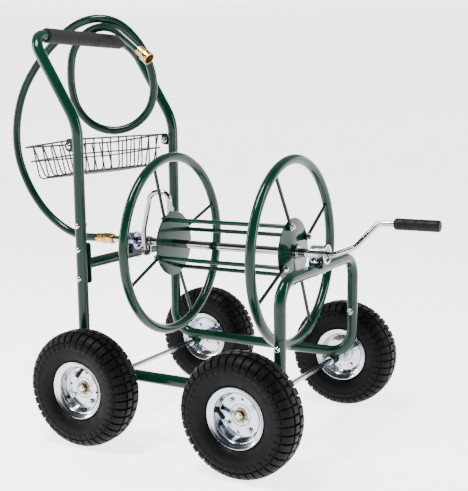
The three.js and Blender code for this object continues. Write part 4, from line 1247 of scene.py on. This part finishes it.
def make_floor():
    bm = bmesh.new()
    rings, sides, radius = 8, 96, 60.0
    previous = [bm.verts.new((0, 0, 0))]
    for k in range(1, rings + 1):
        r = radius * (k / rings) ** 2.5
        turns = [TAU * i / sides for i in range(sides)]
        ring = [bm.verts.new((r * math.cos(turn), r * math.sin(turn), 0)) for turn in turns]
        for i in range(sides):
            j = (i + 1) % sides
            if len(previous) == 1:
                bm.faces.new((previous[0], ring[i], ring[j]))
            else:
                bm.faces.new((previous[i], ring[i], ring[j], previous[j]))
        previous = ring
    mesh = finished(bm, "floor")
    look = Look("floor_paper", 0.7)
    look.colour(look.ramp(look.noise(3, 3), [(0.3, (0.80, 0.80, 0.80)), (0.7, (0.82, 0.82, 0.82))]))
    look.fixed(Specular_IOR_Level=0.2)
    look.shader.inputs["Emission Color"].default_value = (1, 1, 1, 1)
    look.shader.inputs["Emission Strength"].default_value = TABLE_GLOW
    mesh.materials.append(look.material)
    floor = bpy.data.objects.new("floor", mesh)
    scene.collection.objects.link(floor)


# The cart stands on a white light table in front of a white sweep; the room above it is darker.
TABLE_GLOW = 3.2
# Brightness of the surround at table height, by the direction's share away from the sweep (-1 to 1).
SURROUND = [(-1.0, 5.0), (-0.6, 4.8), (-0.1, 1.2), (0.3, 0.35), (1.0, 0.45)]
CEILING_SHARE = 0.14
# Brightness of the low wall that runs all the way round, as a share of the brightest.
LOW_WALL = 0.7
# Direction from the sweep to the open side of the studio; it is fixed in the scene.
OPEN_SIDE = (0.49, -0.87, 0.0)


def make_world():
    world = bpy.data.worlds.new("studio")
    scene.world = world
    world.use_nodes = True
    tree = world.node_tree
    background = tree.nodes["Background"]
    direction = tree.nodes.new("ShaderNodeTexCoord").outputs["Generated"]
    away = tree.nodes.new("ShaderNodeVectorMath")
    away.operation = "DOT_PRODUCT"
    away.inputs[1].default_value = OPEN_SIDE
    tree.links.new(direction, away.inputs[0])
    height = tree.nodes.new("ShaderNodeSeparateXYZ")
    tree.links.new(direction, height.inputs[0])

    def mapped(value, start, end, low, high, kind="SMOOTHSTEP"):
        made = tree.nodes.new("ShaderNodeMapRange")
        made.interpolation_type = kind
        for key, number in (("From Min", start), ("From Max", end), ("To Min", low), ("To Max", high)):
            made.inputs[key].default_value = number
        tree.links.new(value, made.inputs["Value"])
        return made.outputs["Result"]

    ramp = tree.nodes.new("ShaderNodeValToRGB")
    elements = ramp.color_ramp.elements
    while len(elements) < len(SURROUND):
        elements.new(0.5)
    brightest = max(value for _, value in SURROUND)
    for element, (place, value) in zip(elements, SURROUND):
        element.position = (place + 1) / 2
        element.color = (value / brightest, value / brightest, value / brightest, 1)
    tree.links.new(mapped(away.outputs["Value"], -1, 1, 0, 1, "LINEAR"), ramp.inputs["Fac"])
    joined = tree.nodes.new("ShaderNodeMixRGB")
    joined.inputs["Color1"].default_value = (LOW_WALL, LOW_WALL, LOW_WALL, 1)
    tree.links.new(mapped(height.outputs["Z"], 0.09, 0.13, 0, 1), joined.inputs["Fac"])
    tree.links.new(ramp.outputs["Color"], joined.inputs["Color2"])
    tree.links.new(joined.outputs["Color"], background.inputs["Color"])
    strength = mapped(height.outputs["Z"], 0.14, 0.4, brightest, brightest * CEILING_SHARE)
    tree.links.new(strength, background.inputs["Strength"])


def area(name, place, target, size, power):
    data = bpy.data.lights.new(name, "AREA")
    data.shape = "RECTANGLE"
    data.size, data.size_y = size
    data.energy = power
    lamp = bpy.data.objects.new(name, data)
    scene.collection.objects.link(lamp)
    lamp.location = place
    lamp.rotation_mode = "QUATERNION"
    lamp.rotation_quaternion = (Vector(target) - Vector(place)).to_track_quat("-Z", "Y")
    lamp.visible_camera = False


def make_light():
    make_world()
    area("key_light", (-0.45, -0.95, 2.8), (0, 0, 0.4), (0.5, 1.3), 150)
    area("left_strip", (-2.6, -1.2, 1.4), (0, 0, 0.5), (0.25, 2.0), 60)
    area("right_strip", (2.4, 0.6, 1.3), (0, 0, 0.5), (0.25, 2.0), 60)


make_floor()
make_light()
